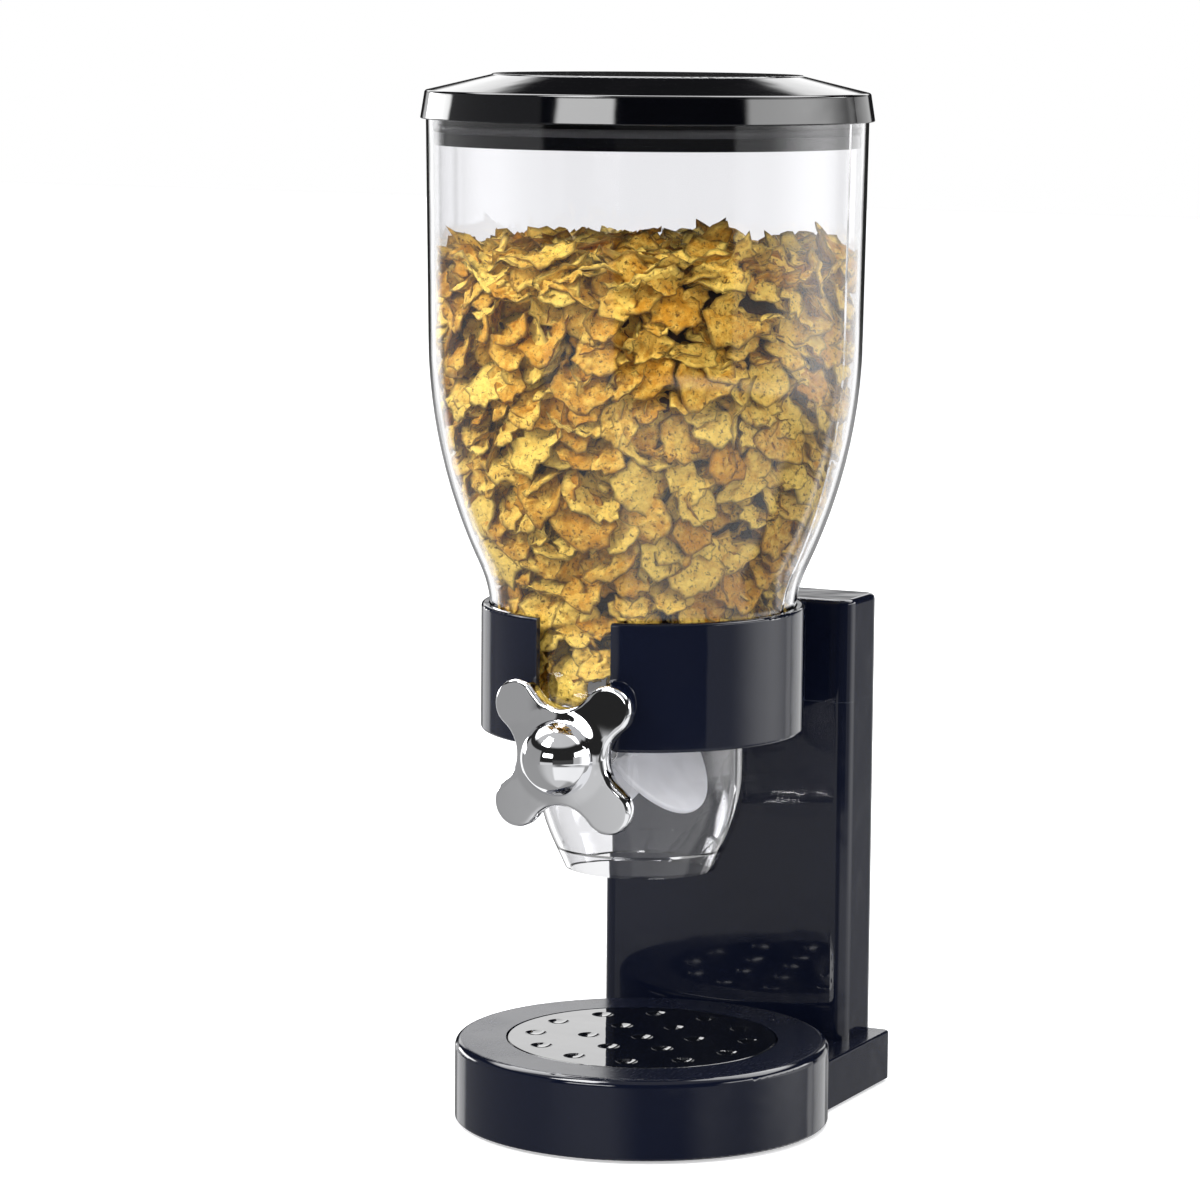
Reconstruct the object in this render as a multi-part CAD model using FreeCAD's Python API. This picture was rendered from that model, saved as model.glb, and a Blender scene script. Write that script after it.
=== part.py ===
import FreeCAD, Part
import math
import os

# Single-canister dry food dispenser, in millimetres, +Z up.
# The shapes are drawn with the canister's axis on the Z axis, the table at z = 0 and the
# knob facing -Y. Saving then moves them along Y, so that the frame's origin is on the table
# under the middle of the whole object.
# Each physical piece is one solid (or a group of identical fasteners) in its own STEP file.

# ---------------------------------------------------------------- driving dimensions
# Base: a round foot under the chute and a lower plate that carries the column
FOOT_PROUD = 1.2            # how far the rubber feet lift the base off the table
FOOT_RADIUS = 8.0
FOOT_POCKET_DEPTH = 1.0
FRONT_FOOT_X = 36.0
FRONT_FOOT_Y = -34.0
REAR_FOOT_INSET = 13.0      # foot centre to the plate's sides and back
DISC_RADIUS = 71.0
DISC_CENTRE_Y = 2.5
DISC_TOP_Z = 31.5
DISC_EDGE_ROUND = 3.0
DISC_BOTTOM_ROUND = 0.8
PLATE_HALF_WIDTH = 60.0
PLATE_TOP_Z = 20.2
PLATE_CORNER_ROUND = 2.5
PLATE_EDGE_ROUND = 0.9
BASE_WALL = 3.0
BASE_COVER_THICKNESS = 2.5

# Crumb tray set into the disc
TRAY_RADIUS = 51.2
TRAY_THICKNESS = 3.2
TRAY_RIM_GAP = 0.45         # groove between the tray and the disc
TRAY_EDGE_ROUND = 0.7
DIMPLE_RADIUS = 4.2
DIMPLE_DEPTH = 1.3
DIMPLE_RINGS = ((6, 20.4), (12, 40.8))      # how many dimples, and how far from the centre
DIMPLE_TURN = 17.5                          # degrees the pattern is turned

# Column: a rectangular tower behind the disc, with a screwed rear cover
COLUMN_WIDTH = 105.0
COLUMN_DEPTH = 30.0
COLUMN_HEIGHT = 133.5       # lower moulding, from the plate's top to the seam
COLUMN_GAP = 1.0            # between the disc's back and the column's face
COLUMN_CORNER_ROUND = 6.0
COLUMN_WALL = 3.6
REAR_COVER_THICKNESS = 2.2
REAR_COVER_MARGIN = 9.0     # from the column's sides, foot and seam to the cover
REAR_COVER_LEDGE = 12.5     # width of the ledge that the cover is screwed to

# Collar bracket: the upper box of the column and the open ring that holds the canister
BRACKET_HEIGHT = 40.0
BRACKET_TOP_ROUND = 2.2
COLLAR_GAP = 0.7            # collar's bore to the canister's neck
COLLAR_WALL = 2.8
COLLAR_HEIGHT = 47.3
COLLAR_DROP = 2.7           # how far the collar hangs below the column's seam
COLLAR_EDGE_ROUND = 1.2
COLLAR_SLOT_WIDTH = 30.0
COLLAR_SLOT_ROUND = 3.0
COLLAR_LEDGE_RADIUS = 47.0  # bore of the ledge that the canister's shoulder sits on
COLLAR_LEDGE_THICKNESS = 3.0
BRIDGE_HALF_WIDTH = 34.0    # web between the collar and the column
BRIDGE_TOP_DROP = 6.0

# Canister: one clear moulding, from the top rim to the chute's lip
CANISTER_WALL = 2.2
NECK_RADIUS = 57.1          # outside, where it stands in the collar
NECK_FLARE_RADIUS = 45.0
NECK_FLARE_DROP = 4.4       # where the flare starts, below the collar's top
BELL_RADIUS = 205.0         # arc of the bell, in section
BELL_MOUTH_RADIUS = 80.7    # outside, where the bell ends and the upper wall starts
UPPER_WALL_HEIGHT = 86.3
RIM_RADIUS = 82.0
CHUTE_RADIUS = 39.5
CHUTE_CORNER_RADIUS = 4.0
SHOULDER_ABOVE_SHAFT = 9.0  # underside of the canister's shoulder over the shaft's axis
CHUTE_STRAIGHT = 12.6       # below the shaft's axis, before the bowl curves in
CHUTE_BOWL_RADIUS = 68.6
CHUTE_BOWL_DEPTH = 30.6
CHUTE_LIP_DEPTH = 8.0
CHUTE_LIP_TAPER = 3.7
CHUTE_LIP_STEP = 0.9

# Shaft, rotor and knob, all on one axis along Y
SHAFT_RADIUS = 3.0
SHAFT_ABOVE_COLLAR = -1.5   # axis height measured from the collar's lower edge
BOSS_RADIUS = 9.0
BOSS_LENGTH = 3.2           # how far each bearing boss stands out of the chute
BUSHING_RADIUS = 5.5
BUSHING_FLANGE_RADIUS = 8.0
BUSHING_FLANGE = 1.5
CLIP_RADIUS = 5.5
CLIP_THICKNESS = 1.0
CLIP_GROOVE_DEPTH = 0.5
SHAFT_TAIL = 1.0            # shaft left behind the clip
HUB_RADIUS = 6.6
HUB_LENGTH = 46.0
WHEEL_SLEEVE_WALL = 2.0
PETALS = 6
PETAL_GAP = 1.5             # petal's round rim to the chute's inner wall
PETAL_THICKNESS = 2.6
PETAL_TURN = -53.0          # degrees, first petal from +X
SLEEVE_RADIUS = 6.0
KNOB_REAR_GAP = 2.0         # knob's rear face to the collar
KNOB_THICKNESS = 7.5
KNOB_LOBE_RADIUS = 8.9
KNOB_LOBE_CENTRE = 26.0
KNOB_WAIST = 17.8           # from the centre to the hollow between two lobes
KNOB_EDGE_ROUND = 2.4
KNOB_BOSS_RADIUS = 8.5
KNOB_BOSS_LENGTH = 4.5
KNOB_WEB = 1.6              # plastic between the shaft's end and the screw's head
KNOB_RECESS_RADIUS = 6.5
KNOB_RECESS_DEPTH = 3.0
DOME_RADIUS = 14.0
DOME_WALL = 2.0

# Lid: a glossy top with a rim band, a plug inside it and a seal round the plug
LID_RISE = 8.7              # top of the lid above the canister's rim
LID_FLAT_RADIUS = 57.8
LID_SHOULDER_DROP = 6.4
LID_RIM_DROP = 16.7         # lower edge of the rim band below the lid's top
LID_RIM_GAP = 0.35
LID_RIM_WALL = 1.6
LID_RIM_FLARE = 1.4
LID_SKIN = 2.4
LID_EDGE_ROUND = 1.0
PLUG_DEPTH = 17.3
PLUG_GAP = 1.0              # plug to the canister's inner wall
PLUG_WALL = 2.2
PLUG_WEB = 2.4
SEAL_HEIGHT = 3.0
SEAL_DROP = 9.6             # top of the seal below the canister's rim
SEAL_DEPTH = 1.0            # groove in the plug
SEAL_GAP = 0.35             # seal to the canister's inner wall, before it is squeezed

# Clearances and fasteners
SEAT_GAP = 0.2              # between seats that lift apart
SLIP_GAP = 0.25             # around covers inside their openings
RUNNING_GAP = 0.05          # radial, shaft in bushing
SCREW_RADIUS = 1.5
SCREW_HEAD_RADIUS = 2.8
SCREW_HEAD_HEIGHT = 1.3
SCREW_HOLE_GAP = 0.2
PILOT_GAP = 0.02
SCREW_BOSS_RADIUS = 4.2
COVER_SCREW_LENGTH = 9.0
FRAME_SCREW_LENGTH = 14.0
KNOB_SCREW_LENGTH = 9.0
BASE_SCREW_RING = 57.0      # bosses for the base cover, from the disc's centre
BRACKET_SCREW_X = 30.0
COLUMN_SCREW_X = 38.0
COLUMN_SCREW_INSET = 8.5    # from the column's front and back faces

# ---------------------------------------------------------------- derived places
column_front = DISC_CENTRE_Y + DISC_RADIUS + COLUMN_GAP
column_back = column_front + COLUMN_DEPTH
column_half = COLUMN_WIDTH / 2
column_middle = (column_front + column_back) / 2
seam_z = PLATE_TOP_Z + COLUMN_HEIGHT
bracket_top = seam_z + BRACKET_HEIGHT
collar_bottom = seam_z - COLLAR_DROP
collar_top = collar_bottom + COLLAR_HEIGHT
collar_inner = NECK_RADIUS + COLLAR_GAP
collar_outer = collar_inner + COLLAR_WALL
shaft_z = collar_bottom + SHAFT_ABOVE_COLLAR

chamber_radius = CHUTE_RADIUS - CANISTER_WALL
petal_reach = chamber_radius - PETAL_GAP
shoulder_z = shaft_z + SHOULDER_ABOVE_SHAFT
shoulder_inner = CHUTE_RADIUS + CHUTE_CORNER_RADIUS
shoulder_round = NECK_RADIUS - shoulder_inner
flare_z = collar_top - NECK_FLARE_DROP
bell_offset = NECK_RADIUS + NECK_FLARE_RADIUS - (BELL_MOUTH_RADIUS - BELL_RADIUS)
bell_z = flare_z + math.sqrt((BELL_RADIUS + NECK_FLARE_RADIUS) ** 2 - bell_offset ** 2)
rim_z = bell_z + UPPER_WALL_HEIGHT
rim_inner = RIM_RADIUS - CANISTER_WALL
wall_taper = (RIM_RADIUS - BELL_MOUTH_RADIUS) / UPPER_WALL_HEIGHT
bowl_z = shaft_z - CHUTE_STRAIGHT
lip_z = bowl_z - CHUTE_BOWL_DEPTH
outlet_z = lip_z - CHUTE_LIP_DEPTH

boss_end = CHUTE_RADIUS + BOSS_LENGTH            # |y| of each bearing boss's face
flange_end = boss_end + BUSHING_FLANGE
clip_y = flange_end + SEAT_GAP
shaft_back = clip_y + CLIP_THICKNESS + SHAFT_TAIL
knob_rear = -(collar_outer + KNOB_REAR_GAP)
knob_front = knob_rear - KNOB_THICKNESS
knob_boss = knob_rear + KNOB_BOSS_LENGTH
recess_y = knob_front + KNOB_RECESS_DEPTH
shaft_front = recess_y + KNOB_WEB

tray_top = DISC_TOP_Z
tray_floor = tray_top - TRAY_THICKNESS
lid_top_z = rim_z + LID_RISE
lid_seat = rim_z + SEAT_GAP
lid_band_inner = RIM_RADIUS + LID_RIM_GAP
plug_radius = rim_inner - PLUG_GAP
lid_radius = lid_band_inner + LID_RIM_WALL
front_reach = max(DOME_RADIUS - knob_front, lid_radius, DISC_RADIUS - DISC_CENTRE_Y)
origin_y = (column_back - front_reach) / 2

UP = FreeCAD.Vector(0, 0, 1)
DOWN = FreeCAD.Vector(0, 0, -1)
BACKWARD = FreeCAD.Vector(0, 1, 0)
FORWARD = FreeCAD.Vector(0, -1, 0)


# ---------------------------------------------------------------- helpers
def vec(x, y, z):
    """A point or direction."""
    return FreeCAD.Vector(x, y, z)


def block(x0, x1, y0, y1, z0, z1):
    """A box between two corners."""
    return Part.makeBox(x1 - x0, y1 - y0, z1 - z0, vec(x0, y0, z0))


def rod(radius, start, direction, length):
    """A cylinder from a point along a direction."""
    return Part.makeCylinder(radius, length, start, direction)


def tube(outer, inner, start, direction, length):
    """A hollow cylinder from a point along a direction."""
    return rod(outer, start, direction, length).cut(rod(inner, start, direction, length))


def rounded_block(half_width, y0, y1, z0, z1, radius):
    """A box, centred on X, with its four upright edges rounded."""
    box = block(-half_width, half_width, y0, y1, z0, z1)
    upright = [edge for edge in box.Edges if abs(edge.BoundBox.ZLength - (z1 - z0)) < 1e-6]
    return box.makeFillet(radius, upright)


def lathe(steps, y=0.0):
    """Turn a closed outline of (radius, z) steps about a vertical axis at (0, y).

    A step is a point, reached by a straight line, or a pair of points, which is an arc
    through the first to the second.
    """
    edges = []
    here = vec(steps[0][0], 0, steps[0][1])
    start = here
    for step in steps[1:]:
        if isinstance(step[0], tuple):
            middle = vec(step[0][0], 0, step[0][1])
            there = vec(step[1][0], 0, step[1][1])
            edges.append(Part.Arc(here, middle, there).toShape())
        else:
            there = vec(step[0], 0, step[1])
            edges.append(Part.LineSegment(here, there).toShape())
        here = there
    edges.append(Part.LineSegment(here, start).toShape())
    solid = Part.Face(Part.Wire(edges)).revolve(vec(0, 0, 0), UP, 360)
    solid.translate(vec(0, y, 0))
    return solid


def on_arc(centre, radius, degrees):
    """The (radius, z) point of an arc in the lathe's section."""
    turn = math.radians(degrees)
    return (centre[0] + radius * math.cos(turn), centre[1] + radius * math.sin(turn))


def arc_step(centre, radius, first, last):
    """A lathe step along an arc, from one angle to another."""
    return (on_arc(centre, radius, (first + last) / 2), on_arc(centre, radius, last))


def screw(seat, direction, length, head_radius=SCREW_HEAD_RADIUS):
    """A pan-head screw whose head sits on a seat and whose shank runs along a direction."""
    head = rod(head_radius, seat, direction * -1, SCREW_HEAD_HEIGHT)
    shank = rod(SCREW_RADIUS, seat, direction, length)
    socket = rod(head_radius * 0.45, seat - direction * SCREW_HEAD_HEIGHT, direction,
                 SCREW_HEAD_HEIGHT / 2)
    return head.fuse(shank).cut(socket)


def fuse_all(first, others):
    """One solid out of touching solids."""
    return first.multiFuse(others).removeSplitter()


def save(node, shape):
    """Write one node's solid, or group of solids, to its STEP file."""
    if not shape.isValid():
        raise ValueError(node + " is not a valid shape")
    shape.translate(vec(0, -origin_y, 0))
    shape.exportStep("parts/" + node + ".step")
    print(node, len(shape.Solids), round(shape.Volume, 1))


# ---------------------------------------------------------------- base
def base_screw_places():
    """Where the base cover is screwed on: three places in the disc, two under the plate."""
    places = []
    for degrees in (-90, 0, 180):
        turn = math.radians(degrees)
        places.append((BASE_SCREW_RING * math.cos(turn),
                       DISC_CENTRE_Y + BASE_SCREW_RING * math.sin(turn)))
    rear_x = PLATE_HALF_WIDTH - BASE_WALL - SCREW_BOSS_RADIUS
    for side in (-1, 1):
        places.append((side * rear_x, column_front - REAR_FOOT_INSET))
    return places


def column_screw_places():
    """Where the column is screwed to the plate, from below."""
    return [(x, y) for x in (-COLUMN_SCREW_X, COLUMN_SCREW_X)
            for y in (column_front + COLUMN_SCREW_INSET, column_back - COLUMN_SCREW_INSET)]


def foot_places():
    """Name and place of each rubber foot."""
    rear_x = PLATE_HALF_WIDTH - REAR_FOOT_INSET
    rear_y = column_back - REAR_FOOT_INSET
    return {"foot_front_left": (-FRONT_FOOT_X, FRONT_FOOT_Y),
            "foot_front_right": (FRONT_FOOT_X, FRONT_FOOT_Y),
            "foot_rear_left": (-rear_x, rear_y),
            "foot_rear_right": (rear_x, rear_y)}


def base_outline(inset, z0, z1, corner):
    """The disc joined to the plate, drawn in by an inset, between two heights."""
    disc = rod(DISC_RADIUS - inset, vec(0, DISC_CENTRE_Y, z0), UP, z1 - z0)
    plate = rounded_block(PLATE_HALF_WIDTH - inset, DISC_CENTRE_Y, column_back - inset,
                          z0, z1, corner)
    return disc.fuse(plate).removeSplitter()


def make_base_shell():
    """Glossy base moulding: rounded disc, lower rear plate, open underneath."""
    corner_z = DISC_TOP_Z - DISC_EDGE_ROUND
    disc = lathe([
        (0, FOOT_PROUD),
        (DISC_RADIUS - DISC_BOTTOM_ROUND, FOOT_PROUD),
        arc_step((DISC_RADIUS - DISC_BOTTOM_ROUND, FOOT_PROUD + DISC_BOTTOM_ROUND),
                 DISC_BOTTOM_ROUND, -90, 0),
        (DISC_RADIUS, corner_z),
        arc_step((DISC_RADIUS - DISC_EDGE_ROUND, corner_z), DISC_EDGE_ROUND, 0, 90),
        (0, DISC_TOP_Z)], DISC_CENTRE_Y)
    plate = rounded_block(PLATE_HALF_WIDTH, DISC_CENTRE_Y, column_back, FOOT_PROUD,
                          PLATE_TOP_Z, PLATE_CORNER_ROUND)
    top_edges = [edge for edge in plate.Edges
                 if edge.BoundBox.ZMin > PLATE_TOP_Z - 1e-6
                 and edge.BoundBox.YMax > DISC_CENTRE_Y + PLATE_CORNER_ROUND + 1e-6]
    plate = plate.makeFillet(PLATE_EDGE_ROUND, top_edges)
    shell = disc.fuse(plate)

    ceiling = tray_floor - BASE_WALL
    plate_ceiling = PLATE_TOP_Z - BASE_WALL
    shell = shell.cut(rod(DISC_RADIUS - BASE_WALL, vec(0, DISC_CENTRE_Y, 0), UP, ceiling))
    shell = shell.cut(base_outline(BASE_WALL, 0, plate_ceiling, PLATE_CORNER_ROUND))
    shell = shell.cut(rod(TRAY_RADIUS + TRAY_RIM_GAP, vec(0, DISC_CENTRE_Y, tray_floor),
                          UP, TRAY_THICKNESS))

    bosses = []
    holes = []
    cover_top = FOOT_PROUD + BASE_COVER_THICKNESS
    for x, y in base_screw_places():
        in_disc = math.hypot(x, y - DISC_CENTRE_Y) + SCREW_BOSS_RADIUS < DISC_RADIUS
        top = ceiling if in_disc else plate_ceiling
        bosses.append(rod(SCREW_BOSS_RADIUS, vec(x, y, cover_top), UP, top - cover_top))
        holes.append(rod(SCREW_RADIUS + PILOT_GAP, vec(x, y, cover_top), UP,
                         COVER_SCREW_LENGTH))
    for x, y in column_screw_places():
        holes.append(rod(SCREW_RADIUS + SCREW_HOLE_GAP, vec(x, y, plate_ceiling), UP,
                         BASE_WALL))
    shell = fuse_all(shell, bosses)
    return shell.cut(Part.makeCompound(holes))


def make_base_cover():
    """Flat cover that closes the base, with pockets for the feet and the screw heads."""
    inset = BASE_WALL + SLIP_GAP
    cover = base_outline(inset, FOOT_PROUD, FOOT_PROUD + BASE_COVER_THICKNESS,
                         PLATE_CORNER_ROUND)
    pockets = [rod(FOOT_RADIUS, vec(x, y, FOOT_PROUD), UP, FOOT_POCKET_DEPTH)
               for x, y in foot_places().values()]
    for x, y in base_screw_places():
        pockets.append(rod(SCREW_HEAD_RADIUS + SCREW_HOLE_GAP, vec(x, y, FOOT_PROUD), UP,
                           SCREW_HEAD_HEIGHT))
        pockets.append(rod(SCREW_RADIUS + SCREW_HOLE_GAP, vec(x, y, FOOT_PROUD), UP,
                           BASE_COVER_THICKNESS))
    return cover.cut(Part.makeCompound(pockets))


def make_foot(x, y):
    """A rubber foot with a softened lower edge, pressed into its pocket."""
    foot = rod(FOOT_RADIUS, vec(x, y, 0), UP, FOOT_PROUD + FOOT_POCKET_DEPTH)
    lower = [edge for edge in foot.Edges if edge.BoundBox.ZMax < 1e-6]
    return foot.makeFillet(FOOT_PROUD / 2, lower)


def make_crumb_tray():
    """Round lift-out tray with a ring pattern of shallow dimples."""
    tray = lathe([
        (0, tray_floor + SEAT_GAP),
        (TRAY_RADIUS, tray_floor + SEAT_GAP),
        (TRAY_RADIUS, tray_top - TRAY_EDGE_ROUND),
        arc_step((TRAY_RADIUS - TRAY_EDGE_ROUND, tray_top - TRAY_EDGE_ROUND),
                 TRAY_EDGE_ROUND, 0, 90),
        (0, tray_top)], DISC_CENTRE_Y)
    ball = (DIMPLE_RADIUS ** 2 + DIMPLE_DEPTH ** 2) / (2 * DIMPLE_DEPTH)
    height = tray_top - DIMPLE_DEPTH + ball
    dimples = [Part.makeSphere(ball, vec(0, DISC_CENTRE_Y, height))]
    for count, ring in DIMPLE_RINGS:
        for index in range(count):
            turn = math.radians(DIMPLE_TURN + 360.0 * index / count)
            dimples.append(Part.makeSphere(ball, vec(ring * math.cos(turn),
                                                     DISC_CENTRE_Y + ring * math.sin(turn),
                                                     height)))
    return tray.cut(Part.makeCompound(dimples))


# ---------------------------------------------------------------- column and collar
def rear_opening(margin, y0, y1):
    """Upright rectangle in the column's back, set in by a margin all round."""
    half = column_half - margin
    return block(-half, half, y0, y1, PLATE_TOP_Z + margin, seam_z - margin)


def rear_screw_places():
    """Where the rear cover is screwed on, in its four corners."""
    inset = REAR_COVER_MARGIN + REAR_COVER_LEDGE / 2
    return [(x, z) for x in (inset - column_half, column_half - inset)
            for z in (PLATE_TOP_Z + inset, seam_z - inset)]


def make_column_shell():
    """Lower column moulding: closed front, sides, foot and top, with a rear window."""
    shell = rounded_block(column_half, column_front, column_back, PLATE_TOP_Z, seam_z,
                          COLUMN_CORNER_ROUND)
    inner_corner = max(COLUMN_CORNER_ROUND - COLUMN_WALL, 1.0)
    shell = shell.cut(rounded_block(column_half - COLUMN_WALL, column_front + COLUMN_WALL,
                                    column_back - COLUMN_WALL, PLATE_TOP_Z + COLUMN_WALL,
                                    seam_z - COLUMN_WALL, inner_corner))
    shell = shell.cut(rear_opening(REAR_COVER_MARGIN, column_back - REAR_COVER_THICKNESS,
                                   column_back))
    shell = shell.cut(rear_opening(REAR_COVER_MARGIN + REAR_COVER_LEDGE,
                                   column_back - COLUMN_WALL, column_back))
    bosses = []
    holes = []
    boss_length = FRAME_SCREW_LENGTH - BASE_WALL
    for x, y in column_screw_places():
        bosses.append(rod(SCREW_BOSS_RADIUS, vec(x, y, PLATE_TOP_Z), UP, boss_length + 1))
        holes.append(rod(SCREW_RADIUS + PILOT_GAP, vec(x, y, PLATE_TOP_Z), UP, boss_length))
    ledge_y = column_back - REAR_COVER_THICKNESS
    for x, z in rear_screw_places():
        bosses.append(rod(SCREW_BOSS_RADIUS, vec(x, ledge_y, z), FORWARD, COVER_SCREW_LENGTH))
        holes.append(rod(SCREW_RADIUS + PILOT_GAP, vec(x, ledge_y, z), FORWARD,
                         COVER_SCREW_LENGTH - 1))
    for side in (-1, 1):
        holes.append(rod(SCREW_RADIUS + SCREW_HOLE_GAP,
                         vec(side * BRACKET_SCREW_X, column_middle, seam_z), DOWN,
                         COLUMN_WALL))
    return fuse_all(shell, bosses).cut(Part.makeCompound(holes))


def make_rear_cover():
    """Flush cover in the column's back."""
    cover = rear_opening(REAR_COVER_MARGIN + SLIP_GAP, column_back - REAR_COVER_THICKNESS,
                         column_back)
    holes = []
    for x, z in rear_screw_places():
        holes.append(rod(SCREW_HEAD_RADIUS + SCREW_HOLE_GAP, vec(x, column_back, z), FORWARD,
                         SCREW_HEAD_HEIGHT))
        holes.append(rod(SCREW_RADIUS + SCREW_HOLE_GAP, vec(x, column_back, z), FORWARD,
                         REAR_COVER_THICKNESS))
    return cover.cut(Part.makeCompound(holes))


def ledge_height():
    """Top of the collar's ledge, just under the canister's shoulder at the ledge's bore."""
    reach = COLLAR_LEDGE_RADIUS - shoulder_inner
    centre = shoulder_z + shoulder_round
    return centre - math.sqrt(shoulder_round ** 2 - reach ** 2) - SEAT_GAP


def collar_slot():
    """Cut for the collar's open front, flared at its lower corners."""
    half = COLLAR_SLOT_WIDTH / 2
    flare = COLLAR_SLOT_ROUND
    foot = collar_bottom + flare
    below = collar_bottom - 1
    above = collar_top + 1
    dip = flare * (1 - math.sqrt(0.5))
    right = [vec(half, 0, above), vec(half, 0, foot), vec(half + flare, 0, collar_bottom),
             vec(half + flare, 0, below)]
    left = [vec(-point.x, 0, point.z) for point in right]
    edges = [
        Part.LineSegment(left[0], right[0]).toShape(),
        Part.LineSegment(right[0], right[1]).toShape(),
        Part.Arc(right[1], vec(half + dip, 0, collar_bottom + dip), right[2]).toShape(),
        Part.LineSegment(right[2], right[3]).toShape(),
        Part.LineSegment(right[3], left[3]).toShape(),
        Part.LineSegment(left[3], left[2]).toShape(),
        Part.Arc(left[2], vec(-half - dip, 0, collar_bottom + dip), left[1]).toShape(),
        Part.LineSegment(left[1], left[0]).toShape()]
    return Part.Face(Part.Wire(edges)).extrude(FORWARD * (collar_outer + 1))


def make_collar_bracket():
    """Upper column box and the open collar, one moulding joined by a web."""
    box = rounded_block(column_half, column_front, column_back, seam_z, bracket_top,
                        COLUMN_CORNER_ROUND)
    top_edges = [edge for edge in box.Edges if edge.BoundBox.ZMin > bracket_top - 1e-6]
    box = box.makeFillet(BRACKET_TOP_ROUND, top_edges)
    web = block(-BRIDGE_HALF_WIDTH, BRIDGE_HALF_WIDTH, 0, column_front + COLUMN_WALL,
                collar_bottom, collar_top - BRIDGE_TOP_DROP)
    web = web.cut(block(-BRIDGE_HALF_WIDTH, BRIDGE_HALF_WIDTH, column_front,
                        column_front + COLUMN_WALL, collar_bottom, seam_z))
    ring = lathe([
        (collar_inner, collar_bottom),
        (collar_outer - COLLAR_EDGE_ROUND, collar_bottom),
        arc_step((collar_outer - COLLAR_EDGE_ROUND, collar_bottom + COLLAR_EDGE_ROUND),
                 COLLAR_EDGE_ROUND, -90, 0),
        (collar_outer, collar_top - COLLAR_EDGE_ROUND),
        arc_step((collar_outer - COLLAR_EDGE_ROUND, collar_top - COLLAR_EDGE_ROUND),
                 COLLAR_EDGE_ROUND, 0, 90),
        (collar_inner, collar_top)])
    web = web.cut(rod(collar_inner, vec(0, 0, collar_bottom), UP, COLLAR_HEIGHT))
    ledge = tube(collar_inner + COLLAR_WALL / 2, COLLAR_LEDGE_RADIUS,
                 vec(0, 0, ledge_height() - COLLAR_LEDGE_THICKNESS), UP,
                 COLLAR_LEDGE_THICKNESS)
    ring = ring.fuse(ledge).removeSplitter().cut(collar_slot())
    cavity = rounded_block(column_half - COLUMN_WALL, column_front + COLUMN_WALL,
                           column_back - COLUMN_WALL, seam_z, bracket_top - COLUMN_WALL,
                           max(COLUMN_CORNER_ROUND - COLUMN_WALL, 1.0))
    bracket = fuse_all(box, [web, ring]).cut(cavity)
    pillars = []
    holes = []
    for side in (-1, 1):
        foot = vec(side * BRACKET_SCREW_X, column_middle, seam_z)
        pillars.append(rod(SCREW_BOSS_RADIUS, foot, UP, BRACKET_HEIGHT - COLUMN_WALL))
        holes.append(rod(SCREW_RADIUS + PILOT_GAP, foot, UP,
                         FRAME_SCREW_LENGTH - COLUMN_WALL))
    return fuse_all(bracket, pillars).cut(Part.makeCompound(holes))


# ---------------------------------------------------------------- canister
def bell_angles():
    """Angle in section where the bell and the neck's flare meet, seen from each centre."""
    rise = bell_z - flare_z
    return -math.degrees(math.atan2(rise, bell_offset)), 180 - math.degrees(
        math.atan2(rise, bell_offset))


def canister_skin(inset):
    """Lathe steps of the canister's outer skin drawn in by an inset, lip to rim."""
    bowl_centre = (CHUTE_RADIUS - CHUTE_BOWL_RADIUS, bowl_z)
    bowl_angle = -math.degrees(math.asin(CHUTE_BOWL_DEPTH / CHUTE_BOWL_RADIUS))
    corner_centre = (shoulder_inner, shoulder_z - CHUTE_CORNER_RADIUS)
    round_centre = (shoulder_inner, shoulder_z + shoulder_round)
    flare_centre = (NECK_RADIUS + NECK_FLARE_RADIUS, flare_z)
    bell_centre = (BELL_MOUTH_RADIUS - BELL_RADIUS, bell_z)
    bell_angle, flare_angle = bell_angles()
    corner = CHUTE_CORNER_RADIUS + inset
    rounding = shoulder_round - inset
    flare = NECK_FLARE_RADIUS + inset
    bell = BELL_RADIUS - inset
    bowl = CHUTE_BOWL_RADIUS - inset
    return [
        on_arc(bowl_centre, bowl, bowl_angle),
        arc_step(bowl_centre, bowl, bowl_angle, 0),
        on_arc(corner_centre, corner, 180),
        arc_step(corner_centre, corner, 180, 90),
        arc_step(round_centre, rounding, -90, 0),
        on_arc(flare_centre, flare, 180),
        arc_step(flare_centre, flare, 180, flare_angle),
        arc_step(bell_centre, bell, bell_angle, 0),
        (RIM_RADIUS - inset, rim_z)]


def make_canister():
    """Clear hopper and chute in one moulding, with a bearing boss at each end of the shaft."""
    outer = canister_skin(0)
    inner = canister_skin(CANISTER_WALL)
    lip_outer = outer[0][0] - CHUTE_LIP_TAPER
    filled = lathe([(0, outlet_z), (lip_outer, outlet_z)] + outer + [(0, rim_z)])
    ledge = inner[0][0] - CHUTE_LIP_STEP
    hollow = lathe([(0, outlet_z), (lip_outer - CANISTER_WALL, outlet_z),
                    (ledge, lip_z), inner[0]] + inner[1:] + [(0, rim_z)])
    front = rod(BOSS_RADIUS, vec(0, 0, shaft_z), FORWARD, boss_end)
    back = rod(BOSS_RADIUS, vec(0, 0, shaft_z), BACKWARD, boss_end)
    body = fuse_all(filled, [front, back]).cut(hollow)
    bore = rod(BUSHING_RADIUS, vec(0, -boss_end, shaft_z), BACKWARD, 2 * boss_end)
    return body.cut(bore)


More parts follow.
